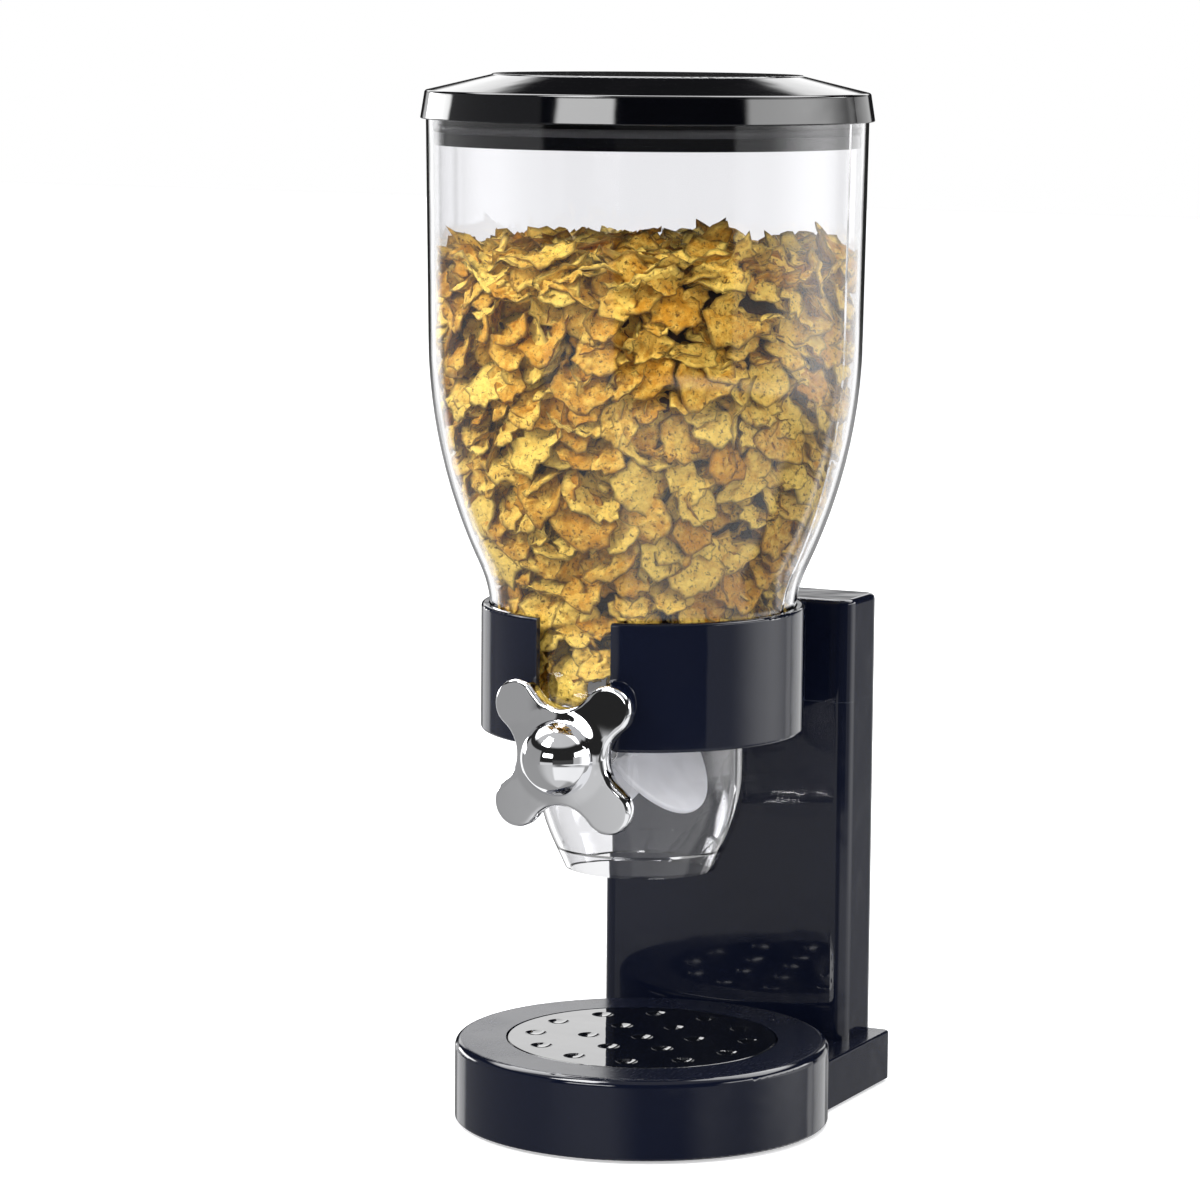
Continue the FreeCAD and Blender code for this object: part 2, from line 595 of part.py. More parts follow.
def make_bushing(direction):
    """Flanged plain bearing, pushed into a boss from outside."""
    inner_end = chamber_radius - 1.0
    sleeve = rod(BUSHING_RADIUS, vec(0, 0, shaft_z) + direction * inner_end, direction,
                 boss_end - inner_end)
    flange = rod(BUSHING_FLANGE_RADIUS, vec(0, 0, shaft_z) + direction * boss_end, direction,
                 BUSHING_FLANGE)
    bore = rod(SHAFT_RADIUS + RUNNING_GAP, vec(0, 0, shaft_z), direction, flange_end)
    return sleeve.fuse(flange).removeSplitter().cut(bore)


# ---------------------------------------------------------------- shaft, rotor and knob
def make_shaft():
    """Steel rod with a clip groove behind and a tapped hole in front."""
    rod_shape = rod(SHAFT_RADIUS, vec(0, shaft_front, shaft_z), BACKWARD,
                    shaft_back - shaft_front)
    groove = tube(SHAFT_RADIUS, SHAFT_RADIUS - CLIP_GROOVE_DEPTH, vec(0, clip_y, shaft_z),
                  BACKWARD, CLIP_THICKNESS)
    tapped = rod(SCREW_RADIUS + PILOT_GAP, vec(0, shaft_front, shaft_z), BACKWARD,
                 KNOB_SCREW_LENGTH - KNOB_WEB + 1)
    return rod_shape.cut(groove).cut(tapped)


def make_shaft_clip():
    """Retaining clip, open below, in the shaft's groove."""
    ring = tube(CLIP_RADIUS, SHAFT_RADIUS - CLIP_GROOVE_DEPTH, vec(0, clip_y, shaft_z),
                BACKWARD, CLIP_THICKNESS)
    mouth = SHAFT_RADIUS - CLIP_GROOVE_DEPTH
    gap = block(-mouth, mouth, clip_y, clip_y + CLIP_THICKNESS, shaft_z - CLIP_RADIUS, shaft_z)
    return ring.cut(gap)


def make_rotor_hub():
    """Stiff hub on the shaft, inside the soft wheel."""
    return tube(HUB_RADIUS, SHAFT_RADIUS, vec(0, -HUB_LENGTH / 2, shaft_z), BACKWARD,
                HUB_LENGTH)


def make_rotor_wheel():
    """Soft wheel: a sleeve with round petals that sweep the chamber."""
    sleeve_radius = HUB_RADIUS + WHEEL_SLEEVE_WALL
    sleeve = rod(sleeve_radius, vec(0, -HUB_LENGTH / 2, shaft_z), BACKWARD, HUB_LENGTH)
    disc = rod(petal_reach, vec(0, 0, -PETAL_THICKNESS / 2), UP, PETAL_THICKNESS)
    rims = [edge for edge in disc.Edges if isinstance(edge.Curve, Part.Circle)]
    disc = disc.makeFillet(PETAL_THICKNESS * 0.4, rims)
    petal = disc.common(block(HUB_RADIUS + WHEEL_SLEEVE_WALL / 2, petal_reach + 1,
                              -petal_reach, petal_reach, -PETAL_THICKNESS, PETAL_THICKNESS))
    petals = []
    for index in range(PETALS):
        blade = petal.copy()
        blade.rotate(vec(0, 0, 0), BACKWARD, -(PETAL_TURN + 360.0 * index / PETALS))
        blade.translate(vec(0, 0, shaft_z))
        petals.append(blade)
    wheel = fuse_all(sleeve, petals)
    return wheel.cut(rod(HUB_RADIUS, vec(0, -HUB_LENGTH, shaft_z), BACKWARD, 2 * HUB_LENGTH))


def make_knob_sleeve():
    """Spacer on the shaft between the front bushing and the knob."""
    start = -(flange_end + SEAT_GAP)
    return tube(SLEEVE_RADIUS, SHAFT_RADIUS, vec(0, start, shaft_z), FORWARD,
                start - knob_boss)


def clover_outline():
    """Closed wire of the knob's four lobes, flat at y = 0 about the origin."""
    lobe = KNOB_LOBE_CENTRE / math.sqrt(2)
    waist_radius = ((KNOB_WAIST - lobe) ** 2 + lobe ** 2 - KNOB_LOBE_RADIUS ** 2) / (
        2 * (KNOB_LOBE_RADIUS - KNOB_WAIST + lobe))
    waist_centre = KNOB_WAIST + waist_radius
    share = KNOB_LOBE_RADIUS / (KNOB_LOBE_RADIUS + waist_radius)
    join = vec(lobe + (waist_centre - lobe) * share, 0, lobe - lobe * share)
    mirrored = vec(join.z, 0, join.x)
    tip = vec(lobe, 0, lobe) * (1 + KNOB_LOBE_RADIUS / KNOB_LOBE_CENTRE)
    next_join = vec(-mirrored.x, 0, mirrored.z)
    quarter = [Part.Arc(join, tip, mirrored).toShape(),
               Part.Arc(mirrored, vec(0, 0, KNOB_WAIST), next_join).toShape()]
    edges = []
    for index in range(4):
        for edge in quarter:
            turned = edge.copy()
            turned.rotate(vec(0, 0, 0), FORWARD, 90.0 * index)
            edges.append(turned)
    return Part.Wire(Part.__sortEdges__(edges))


def make_knob():
    """Four-lobed handle with a boss behind and a recess for its screw in front."""
    clover = Part.Face(clover_outline()).extrude(FORWARD * KNOB_THICKNESS)
    clover.translate(vec(0, knob_rear, shaft_z))
    front = [edge for edge in clover.Edges if edge.BoundBox.YMax < knob_front + 1e-6]
    clover = clover.makeFillet(KNOB_EDGE_ROUND, front)
    boss = rod(KNOB_BOSS_RADIUS, vec(0, knob_boss, shaft_z), FORWARD,
               KNOB_BOSS_LENGTH + KNOB_THICKNESS / 2)
    knob = clover.fuse(boss).removeSplitter()
    socket = rod(SHAFT_RADIUS, vec(0, knob_boss, shaft_z), FORWARD, knob_boss - shaft_front)
    hole = rod(SCREW_RADIUS + SCREW_HOLE_GAP, vec(0, shaft_front, shaft_z), FORWARD, KNOB_WEB)
    recess = rod(KNOB_RECESS_RADIUS, vec(0, recess_y, shaft_z), FORWARD, KNOB_RECESS_DEPTH)
    return knob.cut(Part.makeCompound([socket, hole, recess]))


def make_knob_cap():
    """Domed cap over the knob's screw, held by a ring in the recess."""
    centre = vec(0, knob_front, shaft_z)
    ball = Part.makeSphere(DOME_RADIUS, centre)
    ahead = block(-DOME_RADIUS, DOME_RADIUS, knob_front - DOME_RADIUS, knob_front,
                  shaft_z - DOME_RADIUS, shaft_z + DOME_RADIUS)
    dome = ball.common(ahead)
    hollow = rod(KNOB_RECESS_RADIUS - DOME_WALL, centre, FORWARD, DOME_WALL)
    ring = tube(KNOB_RECESS_RADIUS, KNOB_RECESS_RADIUS - DOME_WALL, centre, BACKWARD,
                KNOB_RECESS_DEPTH * 0.8)
    return dome.cut(hollow).fuse(ring).removeSplitter()


# ---------------------------------------------------------------- lid
def make_lid_top():
    """Glossy lid: flat top, cone, rim band, hollow underneath."""
    shoulder_z_top = lid_top_z - LID_SHOULDER_DROP
    band_bottom = lid_top_z - LID_RIM_DROP
    shoulder = lid_radius - LID_RIM_FLARE
    return lathe([
        (0, lid_top_z),
        (LID_FLAT_RADIUS - LID_EDGE_ROUND, lid_top_z),
        ((LID_FLAT_RADIUS - LID_EDGE_ROUND * 0.45, lid_top_z - LID_EDGE_ROUND * 0.1),
         (LID_FLAT_RADIUS, lid_top_z - LID_EDGE_ROUND * 0.45)),
        (shoulder - LID_EDGE_ROUND, shoulder_z_top + LID_EDGE_ROUND * 0.25),
        ((shoulder - LID_EDGE_ROUND * 0.25, shoulder_z_top - LID_EDGE_ROUND * 0.2),
         (shoulder, shoulder_z_top - LID_EDGE_ROUND)),
        (lid_radius, band_bottom + LID_EDGE_ROUND * 0.5),
        arc_step((lid_radius - LID_EDGE_ROUND * 0.5, band_bottom + LID_EDGE_ROUND * 0.5),
                 LID_EDGE_ROUND * 0.5, 0, -90),
        (lid_band_inner, band_bottom),
        (lid_band_inner, lid_seat),
        (plug_radius - PLUG_WALL, lid_seat),
        (LID_FLAT_RADIUS - LID_SKIN, lid_top_z - LID_SKIN),
        (0, lid_top_z - LID_SKIN)])


def make_lid_plug():
    """Plug that drops into the canister: a skirt with a groove, closed by a web."""
    bottom = rim_z - PLUG_DEPTH
    seal_top = rim_z - SEAL_DROP
    return lathe([
        (0, lid_seat),
        (plug_radius, lid_seat),
        (plug_radius, seal_top),
        (plug_radius - SEAL_DEPTH, seal_top),
        (plug_radius - SEAL_DEPTH, seal_top - SEAL_HEIGHT),
        (plug_radius, seal_top - SEAL_HEIGHT),
        (plug_radius, bottom),
        (plug_radius - PLUG_WALL, bottom),
        (plug_radius - PLUG_WALL, lid_seat - PLUG_WEB),
        (0, lid_seat - PLUG_WEB)])


def make_lid_seal():
    """Soft ring in the plug's groove, with a rounded outer face."""
    seal_top = rim_z - SEAL_DROP
    middle = seal_top - SEAL_HEIGHT / 2
    reach = rim_inner - wall_taper * (rim_z - middle) - SEAL_GAP
    inner = plug_radius - SEAL_DEPTH
    return lathe([
        (inner, seal_top),
        (plug_radius, seal_top),
        ((reach, middle), (plug_radius, seal_top - SEAL_HEIGHT)),
        (inner, seal_top - SEAL_HEIGHT)])


# ---------------------------------------------------------------- fasteners
def make_base_cover_screws():
    """Five screws that hold the base cover."""
    return Part.makeCompound([screw(vec(x, y, FOOT_PROUD + SCREW_HEAD_HEIGHT), UP,
                                    COVER_SCREW_LENGTH - 1)
                              for x, y in base_screw_places()])


def make_column_screws():
    """Four screws from inside the base up into the column."""
    return Part.makeCompound([screw(vec(x, y, PLATE_TOP_Z - BASE_WALL), UP,
                                    FRAME_SCREW_LENGTH - 1)
                              for x, y in column_screw_places()])


def make_bracket_screws():
    """Two screws from inside the column up into the collar bracket."""
    return Part.makeCompound([screw(vec(side * BRACKET_SCREW_X, column_middle,
                                        seam_z - COLUMN_WALL), UP, FRAME_SCREW_LENGTH - 1)
                              for side in (-1, 1)])


def make_rear_cover_screws():
    """Four screws that hold the rear cover."""
    return Part.makeCompound([screw(vec(x, column_back - SCREW_HEAD_HEIGHT, z), FORWARD,
                                    COVER_SCREW_LENGTH - 2)
                              for x, z in rear_screw_places()])


def make_knob_screw():
    """Screw that holds the knob on the shaft."""
    return screw(vec(0, recess_y, shaft_z), BACKWARD, KNOB_SCREW_LENGTH)


# ---------------------------------------------------------------- all pieces
def main():
    """Build every piece and write it to parts/."""
    os.makedirs("parts", exist_ok=True)
    save("base_shell", make_base_shell())
    save("base_cover", make_base_cover())
    for name, (x, y) in foot_places().items():
        save(name, make_foot(x, y))
    save("base_cover_screws", make_base_cover_screws())
    save("crumb_tray", make_crumb_tray())
    save("column_shell", make_column_shell())
    save("column_screws", make_column_screws())
    save("rear_cover", make_rear_cover())
    save("rear_cover_screws", make_rear_cover_screws())
    save("collar_bracket", make_collar_bracket())
    save("bracket_screws", make_bracket_screws())
    save("canister", make_canister())
    save("front_bushing", make_bushing(FORWARD))
    save("rear_bushing", make_bushing(BACKWARD))
    save("shaft", make_shaft())
    save("shaft_clip", make_shaft_clip())
    save("rotor_hub", make_rotor_hub())
    save("rotor_wheel", make_rotor_wheel())
    save("knob_sleeve", make_knob_sleeve())
    save("knob", make_knob())
    save("knob_cap", make_knob_cap())
    save("knob_screw", make_knob_screw())
    save("lid_top", make_lid_top())
    save("lid_plug", make_lid_plug())
    save("lid_seal", make_lid_seal())


main()
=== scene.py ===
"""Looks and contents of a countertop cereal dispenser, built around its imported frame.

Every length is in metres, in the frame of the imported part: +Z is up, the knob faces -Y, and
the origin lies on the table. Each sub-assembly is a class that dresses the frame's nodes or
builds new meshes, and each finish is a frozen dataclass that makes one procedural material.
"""

from __future__ import annotations

import logging
import math
from abc import ABC, abstractmethod
from collections.abc import Callable, Sequence
from dataclasses import dataclass, field
from enum import Enum

import bmesh
import bpy
import numpy as np
from mathutils import Matrix, Vector
from mathutils.bvhtree import BVHTree

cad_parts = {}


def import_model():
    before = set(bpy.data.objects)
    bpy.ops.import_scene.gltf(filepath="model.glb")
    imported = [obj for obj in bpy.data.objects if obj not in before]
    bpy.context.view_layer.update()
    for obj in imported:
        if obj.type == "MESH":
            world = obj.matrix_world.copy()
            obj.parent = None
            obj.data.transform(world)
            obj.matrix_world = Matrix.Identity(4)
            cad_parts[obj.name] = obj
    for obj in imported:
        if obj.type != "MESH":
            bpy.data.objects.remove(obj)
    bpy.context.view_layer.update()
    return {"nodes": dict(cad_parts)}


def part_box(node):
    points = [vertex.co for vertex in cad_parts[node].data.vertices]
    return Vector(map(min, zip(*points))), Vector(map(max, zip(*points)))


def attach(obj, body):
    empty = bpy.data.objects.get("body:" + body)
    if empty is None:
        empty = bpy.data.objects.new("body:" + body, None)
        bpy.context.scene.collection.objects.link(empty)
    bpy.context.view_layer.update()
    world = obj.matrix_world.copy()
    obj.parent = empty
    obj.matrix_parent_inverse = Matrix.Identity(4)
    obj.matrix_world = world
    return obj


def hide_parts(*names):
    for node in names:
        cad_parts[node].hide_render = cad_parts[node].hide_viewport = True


log = logging.getLogger("dispenser")

Colour = tuple[float, float, float]
Span = tuple[float, float]
Socket = bpy.types.NodeSocket

MM = 0.001
GOLDEN_ANGLE = math.pi * (3 - math.sqrt(5))
WHITE: Colour = (1.0, 1.0, 1.0)


class Body(Enum):
    """Bodies of the frame that pieces ride on."""

    CANISTER = "canister"
    ROTOR = "rotor"


class Effect(Enum):
    """Surface effects that several finishes share, each one shader node group."""

    SKIN = "Moulded skin"
    MARKS = "Handling marks"
    DUST = "Settled dust"
    # Lighter edges: partly rubbed wear, partly a painted highlight along them.
    EDGES = "Edge wear"


# ------------------------------------------------------------------ node sheets
class Sheet:
    """Adds and joins nodes in one node tree."""

    def __init__(self, tree: bpy.types.NodeTree) -> None:
        """Keeps the tree that nodes are added to."""
        self.tree = tree

    def add(self, kind: str, sockets: dict | None = None, **settings: object) -> bpy.types.Node:
        """Adds one node.

        Args:
            kind: The node's type name.
            sockets: Input name or number to a value, or to the output that feeds it.
            **settings: Properties of the node itself.

        Returns:
            The new node.
        """
        node = self.tree.nodes.new(kind)
        for name, value in settings.items():
            setattr(node, name, value)
        for name, value in (sockets or {}).items():
            self.feed(node.inputs[name], value)
        return node

    def feed(self, target: Socket, value: object) -> None:
        """Links an output to a socket, or sets a plain value on it.

        Args:
            target: The input socket.
            value: An output socket, a number, or a colour of three or four parts.
        """
        if isinstance(value, bpy.types.NodeSocket):
            self.tree.links.new(value, target)
        elif isinstance(value, tuple) and target.type == "RGBA" and len(value) == 3:
            target.default_value = (*value, 1.0)
        else:
            target.default_value = value

    def maths(self, operation: str, first: object, second: object = 0.0) -> Socket:
        """The output of one Math node of two inputs."""
        return self.add("ShaderNodeMath", {0: first, 1: second},
                        operation=operation).outputs[0]

    def product(self, *factors: object) -> Socket:
        """Multiplies several values.

        Args:
            *factors: Numbers or outputs; at least two.

        Returns:
            The product.
        """
        result = factors[0]
        for factor in factors[1:]:
            result = self.maths("MULTIPLY", result, factor)
        return result

    def step(self, value: object, low: float, high: float, out_low: float = 0.0,
             out_high: float = 1.0) -> Socket:
        """Makes a smooth step of a value.

        Args:
            value: What is stepped.
            low: Where the step starts.
            high: Where the step ends.
            out_low: The result before the step.
            out_high: The result after it.

        Returns:
            The stepped value.
        """
        node = self.add("ShaderNodeMapRange", {"Value": value, "From Min": low,
                                               "From Max": high, "To Min": out_low,
                                               "To Max": out_high},
                        interpolation_type="SMOOTHSTEP")
        return node.outputs["Result"]

    def mix(self, share: object, first: object, second: object) -> Socket:
        """A mix of two colours."""
        node = self.add("ShaderNodeMix", {0: share, 6: first, 7: second}, data_type="RGBA")
        return node.outputs[2]

    def noise(self, scale: object, detail: float = 3.0, roughness: float = 0.5,
              where: Socket | None = None) -> Socket:
        """Makes a noise value in object space.

        Args:
            scale: Cells per metre.
            detail: How many finer octaves are added.
            roughness: How strong the finer octaves are.
            where: The place that it is read at, if not the point's own.

        Returns:
            The noise, from 0 to 1.
        """
        sockets = {"Scale": scale, "Detail": detail, "Roughness": roughness,
                   "Vector": where or self.place()}
        return self.add("ShaderNodeTexNoise", sockets).outputs["Fac"]

    def place(self) -> Socket:
        """The point's place in object space."""
        return self.add("ShaderNodeTexCoord").outputs["Object"]

    def bump(self, height: object, distance: object, strength: float = 1.0) -> Socket:
        """The normal of a surface with some relief, its height in metres times distance."""
        sockets = {"Height": height, "Distance": distance, "Strength": strength}
        return self.add("ShaderNodeBump", sockets).outputs["Normal"]

    def effect(self, effect: Effect, **values: object) -> Socket:
        """Places one shared effect.

        Args:
            effect: Which one.
            **values: What its inputs are set to, or fed from.

        Returns:
            Its output.
        """
        node = self.add("ShaderNodeGroup", node_tree=effect_group(effect))
        for name, value in values.items():
            self.feed(node.inputs[name], value)
        return node.outputs[0]


def moulded_skin(sheet: Sheet, given: bpy.types.Node, out: bpy.types.Node) -> None:
    """Faint waviness of a moulded surface, as a normal."""
    height = sheet.noise(given.outputs["Scale"], 2.0)
    sheet.feed(out.inputs["Normal"], sheet.bump(height, given.outputs["Depth"]))


def handling_marks(sheet: Sheet, given: bpy.types.Node, out: bpy.types.Node) -> None:
    """Roughness that varies with wiped patches and fine hairline rubs.

    Args:
        sheet: The group's node sheet.
        given: The group's input node, with Base and Spread.
        out: The group's output node, with Roughness.
    """
    patches = sheet.step(sheet.noise(26.0, 4.0), 0.42, 0.68)
    stretch = sheet.add("ShaderNodeMapping", {"Vector": sheet.place(),
                                              "Rotation": (0.5, 0.3, 0.9),
                                              "Scale": (1.0, 0.06, 0.3)})
    rubs = sheet.step(sheet.noise(2600.0, 1.0, where=stretch.outputs["Vector"]), 0.60, 0.74)
    marks = sheet.maths("ADD", sheet.product(patches, 0.6), sheet.product(rubs, 0.4))
    spread = sheet.product(marks, given.outputs["Spread"])
    sheet.feed(out.inputs["Roughness"], sheet.maths("ADD", given.outputs["Base"], spread))


def settled_dust(sheet: Sheet, given: bpy.types.Node, out: bpy.types.Node) -> None:
    """Fine specks on faces that look up, as a mask.

    Args:
        sheet: The group's node sheet.
        given: The group's input node, with Amount.
        out: The group's output node, with Mask.
    """
    normal = sheet.add("ShaderNodeNewGeometry").outputs["Normal"]
    up = sheet.add("ShaderNodeSeparateXYZ", {0: normal}).outputs["Z"]
    lying = sheet.step(up, 0.55, 1.0)
    specks = sheet.step(sheet.noise(1500.0, 2.0), 0.70, 0.76)
    film = sheet.product(sheet.noise(45.0, 3.0), 0.12)
    mask = sheet.product(sheet.maths("ADD", specks, film), lying, given.outputs["Amount"])
    sheet.feed(out.inputs["Mask"], mask)


def edge_rub_and_highlight(sheet: Sheet, given: bpy.types.Node, out: bpy.types.Node) -> None:
    """Rubbed outside edges, as a mask; partly wear, partly a painted highlight along the edges.

    Args:
        sheet: The group's node sheet.
        given: The group's input node, with Width and Amount.
        out: The group's output node, with Mask.
    """
    true_normal = sheet.add("ShaderNodeNewGeometry").outputs["Normal"]
    rounded = sheet.add("ShaderNodeBevel", {"Radius": given.outputs["Width"]}, samples=4)
    turn = sheet.add("ShaderNodeVectorMath", {0: true_normal, 1: rounded.outputs["Normal"]},
                     operation="DOT_PRODUCT").outputs["Value"]
    edge = sheet.step(turn, 0.995, 0.86)
    patchy = sheet.step(sheet.noise(160.0, 4.0), 0.35, 0.7)
    sheet.feed(out.inputs["Mask"], sheet.product(edge, patchy, given.outputs["Amount"]))


EFFECT_MAKERS: dict[Effect, tuple[Callable, tuple[str, ...], tuple[str, str]]] = {
    Effect.SKIN: (moulded_skin, ("Scale", "Depth"), ("Normal", "NodeSocketVector")),
    Effect.MARKS: (handling_marks, ("Base", "Spread"), ("Roughness", "NodeSocketFloat")),
    Effect.DUST: (settled_dust, ("Amount",), ("Mask", "NodeSocketFloat")),
    Effect.EDGES: (edge_rub_and_highlight, ("Width", "Amount"), ("Mask", "NodeSocketFloat")),
}


def effect_group(effect: Effect) -> bpy.types.NodeTree:
    """Finds or builds the shader node group of one shared effect.

    Args:
        effect: Which one.

    Returns:
        Its node group.
    """
    known = bpy.data.node_groups.get(effect.value)
    if known is not None:
        return known
    maker, inputs, (output, output_kind) = EFFECT_MAKERS[effect]
    tree = bpy.data.node_groups.new(effect.value, "ShaderNodeTree")
    for name in inputs:
        tree.interface.new_socket(name, in_out="INPUT", socket_type="NodeSocketFloat")
    tree.interface.new_socket(output, in_out="OUTPUT", socket_type=output_kind)
    sheet = Sheet(tree)
    maker(sheet, sheet.add("NodeGroupInput"), sheet.add("NodeGroupOutput"))
    return tree


# ------------------------------------------------------------------ finishes
@dataclass(frozen=True)
class Finish(ABC):
    """One finish. Its material is built once, under its name."""

    name: str

    def material(self) -> bpy.types.Material:
        """Finds or builds the finish's material.

        Returns:
            The material.
        """
        known = bpy.data.materials.get(self.name)
        if known is not None:
            return known
        material = bpy.data.materials.new(self.name)
        material.use_nodes = True
        tree = material.node_tree
        shader = tree.nodes["Principled BSDF"]
        self.fill(Sheet(tree), shader, tree.nodes["Material Output"])
        return material

    @abstractmethod
    def fill(self, sheet: Sheet, shader: bpy.types.Node, out: bpy.types.Node) -> None:
        """Sets the shader's sockets and joins the nodes that feed them.

        Args:
            sheet: The material's node sheet.
            shader: Its Principled shader.
            out: Its output node.
        """


@dataclass(frozen=True)
class GlossyMoulding(Finish):
    """Polished moulded plastic, with faint waviness, wipe marks, dust and rubbed edges that are
    partly a painted highlight.
    """

    colour: Colour = (0.0028, 0.0040, 0.0105)
    roughness: float = 0.045
    spread: float = 0.05
    specular: float = 0.38
    waviness: float = 0.00014
    dust: float = 0.035
    wear_and_highlight: float = 0.25
    satin_top: float = 0.0

    def fill(self, sheet: Sheet, shader: bpy.types.Node, out: bpy.types.Node) -> None:
        """Joins colour, roughness and normal of the polished plastic.

        Args:
            sheet: The material's node sheet.
            shader: Its Principled shader.
            out: Its output node; not used.
        """
        mottled = sheet.mix(sheet.noise(38.0, 3.0), self.colour,
                            tuple(1.25 * c for c in self.colour))
        # Edges lightened to a pale grey: partly rubbed wear, partly a painted highlight where
        # edges catch light.
        worn_and_highlit = sheet.mix(sheet.effect(Effect.EDGES, Width=0.0006, Amount=self.wear_and_highlight),
                         mottled, (0.10, 0.11, 0.13))
        dusty = sheet.mix(sheet.effect(Effect.DUST, Amount=self.dust), worn_and_highlit,
                          (0.42, 0.41, 0.39))
        sheet.feed(shader.inputs["Base Color"], dusty)
        marks = sheet.effect(Effect.MARKS, Base=self.roughness, Spread=self.spread)
        normal = sheet.add("ShaderNodeNewGeometry").outputs["Normal"]
        up = sheet.add("ShaderNodeSeparateXYZ", {0: normal}).outputs["Z"]
        satin = sheet.step(up, 0.9, 0.99, 0.0, self.satin_top)
        sheet.feed(shader.inputs["Roughness"], sheet.maths("ADD", marks, satin))
        sheet.feed(shader.inputs["Normal"],
                   sheet.effect(Effect.SKIN, Scale=42.0, Depth=self.waviness))
        shader.inputs["Specular IOR Level"].default_value = self.specular


@dataclass(frozen=True)
class SatinMoulding(Finish):
    """Fine textured moulded plastic, spark-eroded grain included."""

    colour: Colour = (0.02, 0.021, 0.024)
    roughness: float = 0.42
    grain: float = 0.00006

    def fill(self, sheet: Sheet, shader: bpy.types.Node, out: bpy.types.Node) -> None:
        """Joins colour, roughness and grain of the textured plastic.

        Args:
            sheet: The material's node sheet.
            shader: Its Principled shader.
            out: Its output node; not used.
        """
        lighter = tuple(1.2 * c for c in self.colour)
        base = sheet.mix(sheet.noise(70.0, 4.0), self.colour, lighter)
        dusty = sheet.mix(sheet.effect(Effect.DUST, Amount=0.08), base, (0.4, 0.39, 0.37))
        sheet.feed(shader.inputs["Base Color"], dusty)
        sheet.feed(shader.inputs["Roughness"],
                   sheet.effect(Effect.MARKS, Base=self.roughness, Spread=0.12))
        sheet.feed(shader.inputs["Normal"],
                   sheet.effect(Effect.SKIN, Scale=3200.0, Depth=self.grain))


@dataclass(frozen=True)
class ClearMoulding(Finish):
    """Clear polished plastic wall, with wipe marks. Lamps reach what it holds."""

    tint: Colour = (0.972, 0.972, 0.986)
    roughness: float = 0.008

    def fill(self, sheet: Sheet, shader: bpy.types.Node, out: bpy.types.Node) -> None:
        """Joins the clear shader, and lets shadow rays through.

        Args:
            sheet: The material's node sheet.
            shader: Its Principled shader.
            out: Its output node.
        """
        shader.inputs["Base Color"].default_value = (*self.tint, 1.0)
        shader.inputs["Transmission Weight"].default_value = 1.0
        shader.inputs["IOR"].default_value = 1.49
        sheet.feed(shader.inputs["Roughness"],
                   sheet.effect(Effect.MARKS, Base=self.roughness, Spread=0.02))
        sheet.feed(shader.inputs["Normal"],
                   sheet.effect(Effect.SKIN, Scale=30.0, Depth=0.00006))
        clear = sheet.add("ShaderNodeBsdfTransparent", {"Color": (0.94, 0.94, 0.95, 1.0)})
        shadow = sheet.add("ShaderNodeLightPath").outputs["Is Shadow Ray"]
        both = sheet.add("ShaderNodeMixShader", {0: shadow, 1: shader.outputs[0],
                                                 2: clear.outputs[0]})
        sheet.feed(out.inputs["Surface"], both.outputs[0])


@dataclass(frozen=True)
class SoftMoulding(Finish):
    """Soft elastomer or silicone: satin, with a slight subsurface glow, a fine bloom and a
    painted glow from emission.
    """

    colour: Colour = (0.60, 0.61, 0.64)
    roughness: float = 0.45
    grain: float = 0.00004
    glow: float = 0.25
    painted_glow: float = 0.0

    def fill(self, sheet: Sheet, shader: bpy.types.Node, out: bpy.types.Node) -> None:
        """Joins colour, bloom, grain and painted glow of the soft material.

        Args:
            sheet: The material's node sheet.
            shader: Its Principled shader.
            out: Its output node; not used.
        """
        darker = tuple(0.9 * c for c in self.colour)
        bloom = sheet.mix(sheet.step(sheet.noise(90.0, 4.0), 0.3, 0.75), self.colour, darker)
        dusty = sheet.mix(sheet.effect(Effect.DUST, Amount=0.1), bloom, (0.5, 0.46, 0.38))
        sheet.feed(shader.inputs["Base Color"], dusty)
        sheet.feed(shader.inputs["Roughness"],
                   sheet.effect(Effect.MARKS, Base=self.roughness, Spread=0.15))
        sheet.feed(shader.inputs["Normal"],
                   sheet.effect(Effect.SKIN, Scale=1900.0, Depth=self.grain))
        shader.inputs["Subsurface Weight"].default_value = self.glow
        shader.inputs["Subsurface Radius"].default_value = (1.0, 0.95, 0.9)
        shader.inputs["Subsurface Scale"].default_value = 0.003
        # Emission in the material's own colour: a painted glow, the piece lit from within though
        # it is no lamp.
        shader.inputs["Emission Color"].default_value = (*self.colour, 1.0)
        shader.inputs["Emission Strength"].default_value = self.painted_glow


@dataclass(frozen=True)
class PlatedMoulding(Finish):
    """Bright chrome plate over moulded plastic, with fine wipe marks."""

    colour: Colour = (0.86, 0.865, 0.885)
    roughness: float = 0.02

    def fill(self, sheet: Sheet, shader: bpy.types.Node, out: bpy.types.Node) -> None:
        """Joins the plate's tone, marks and slight waviness.

        Args:
            sheet: The material's node sheet.
            shader: Its Principled shader.
            out: Its output node; not used.
        """
        hazy = tuple(0.93 * c for c in self.colour)
        tone = sheet.mix(sheet.step(sheet.noise(60.0, 4.0), 0.45, 0.8), self.colour, hazy)
        sheet.feed(shader.inputs["Base Color"], tone)
        shader.inputs["Metallic"].default_value = 1.0
        sheet.feed(shader.inputs["Roughness"],
                   sheet.effect(Effect.MARKS, Base=self.roughness, Spread=0.05))
        sheet.feed(shader.inputs["Normal"],
                   sheet.effect(Effect.SKIN, Scale=70.0, Depth=0.00003))


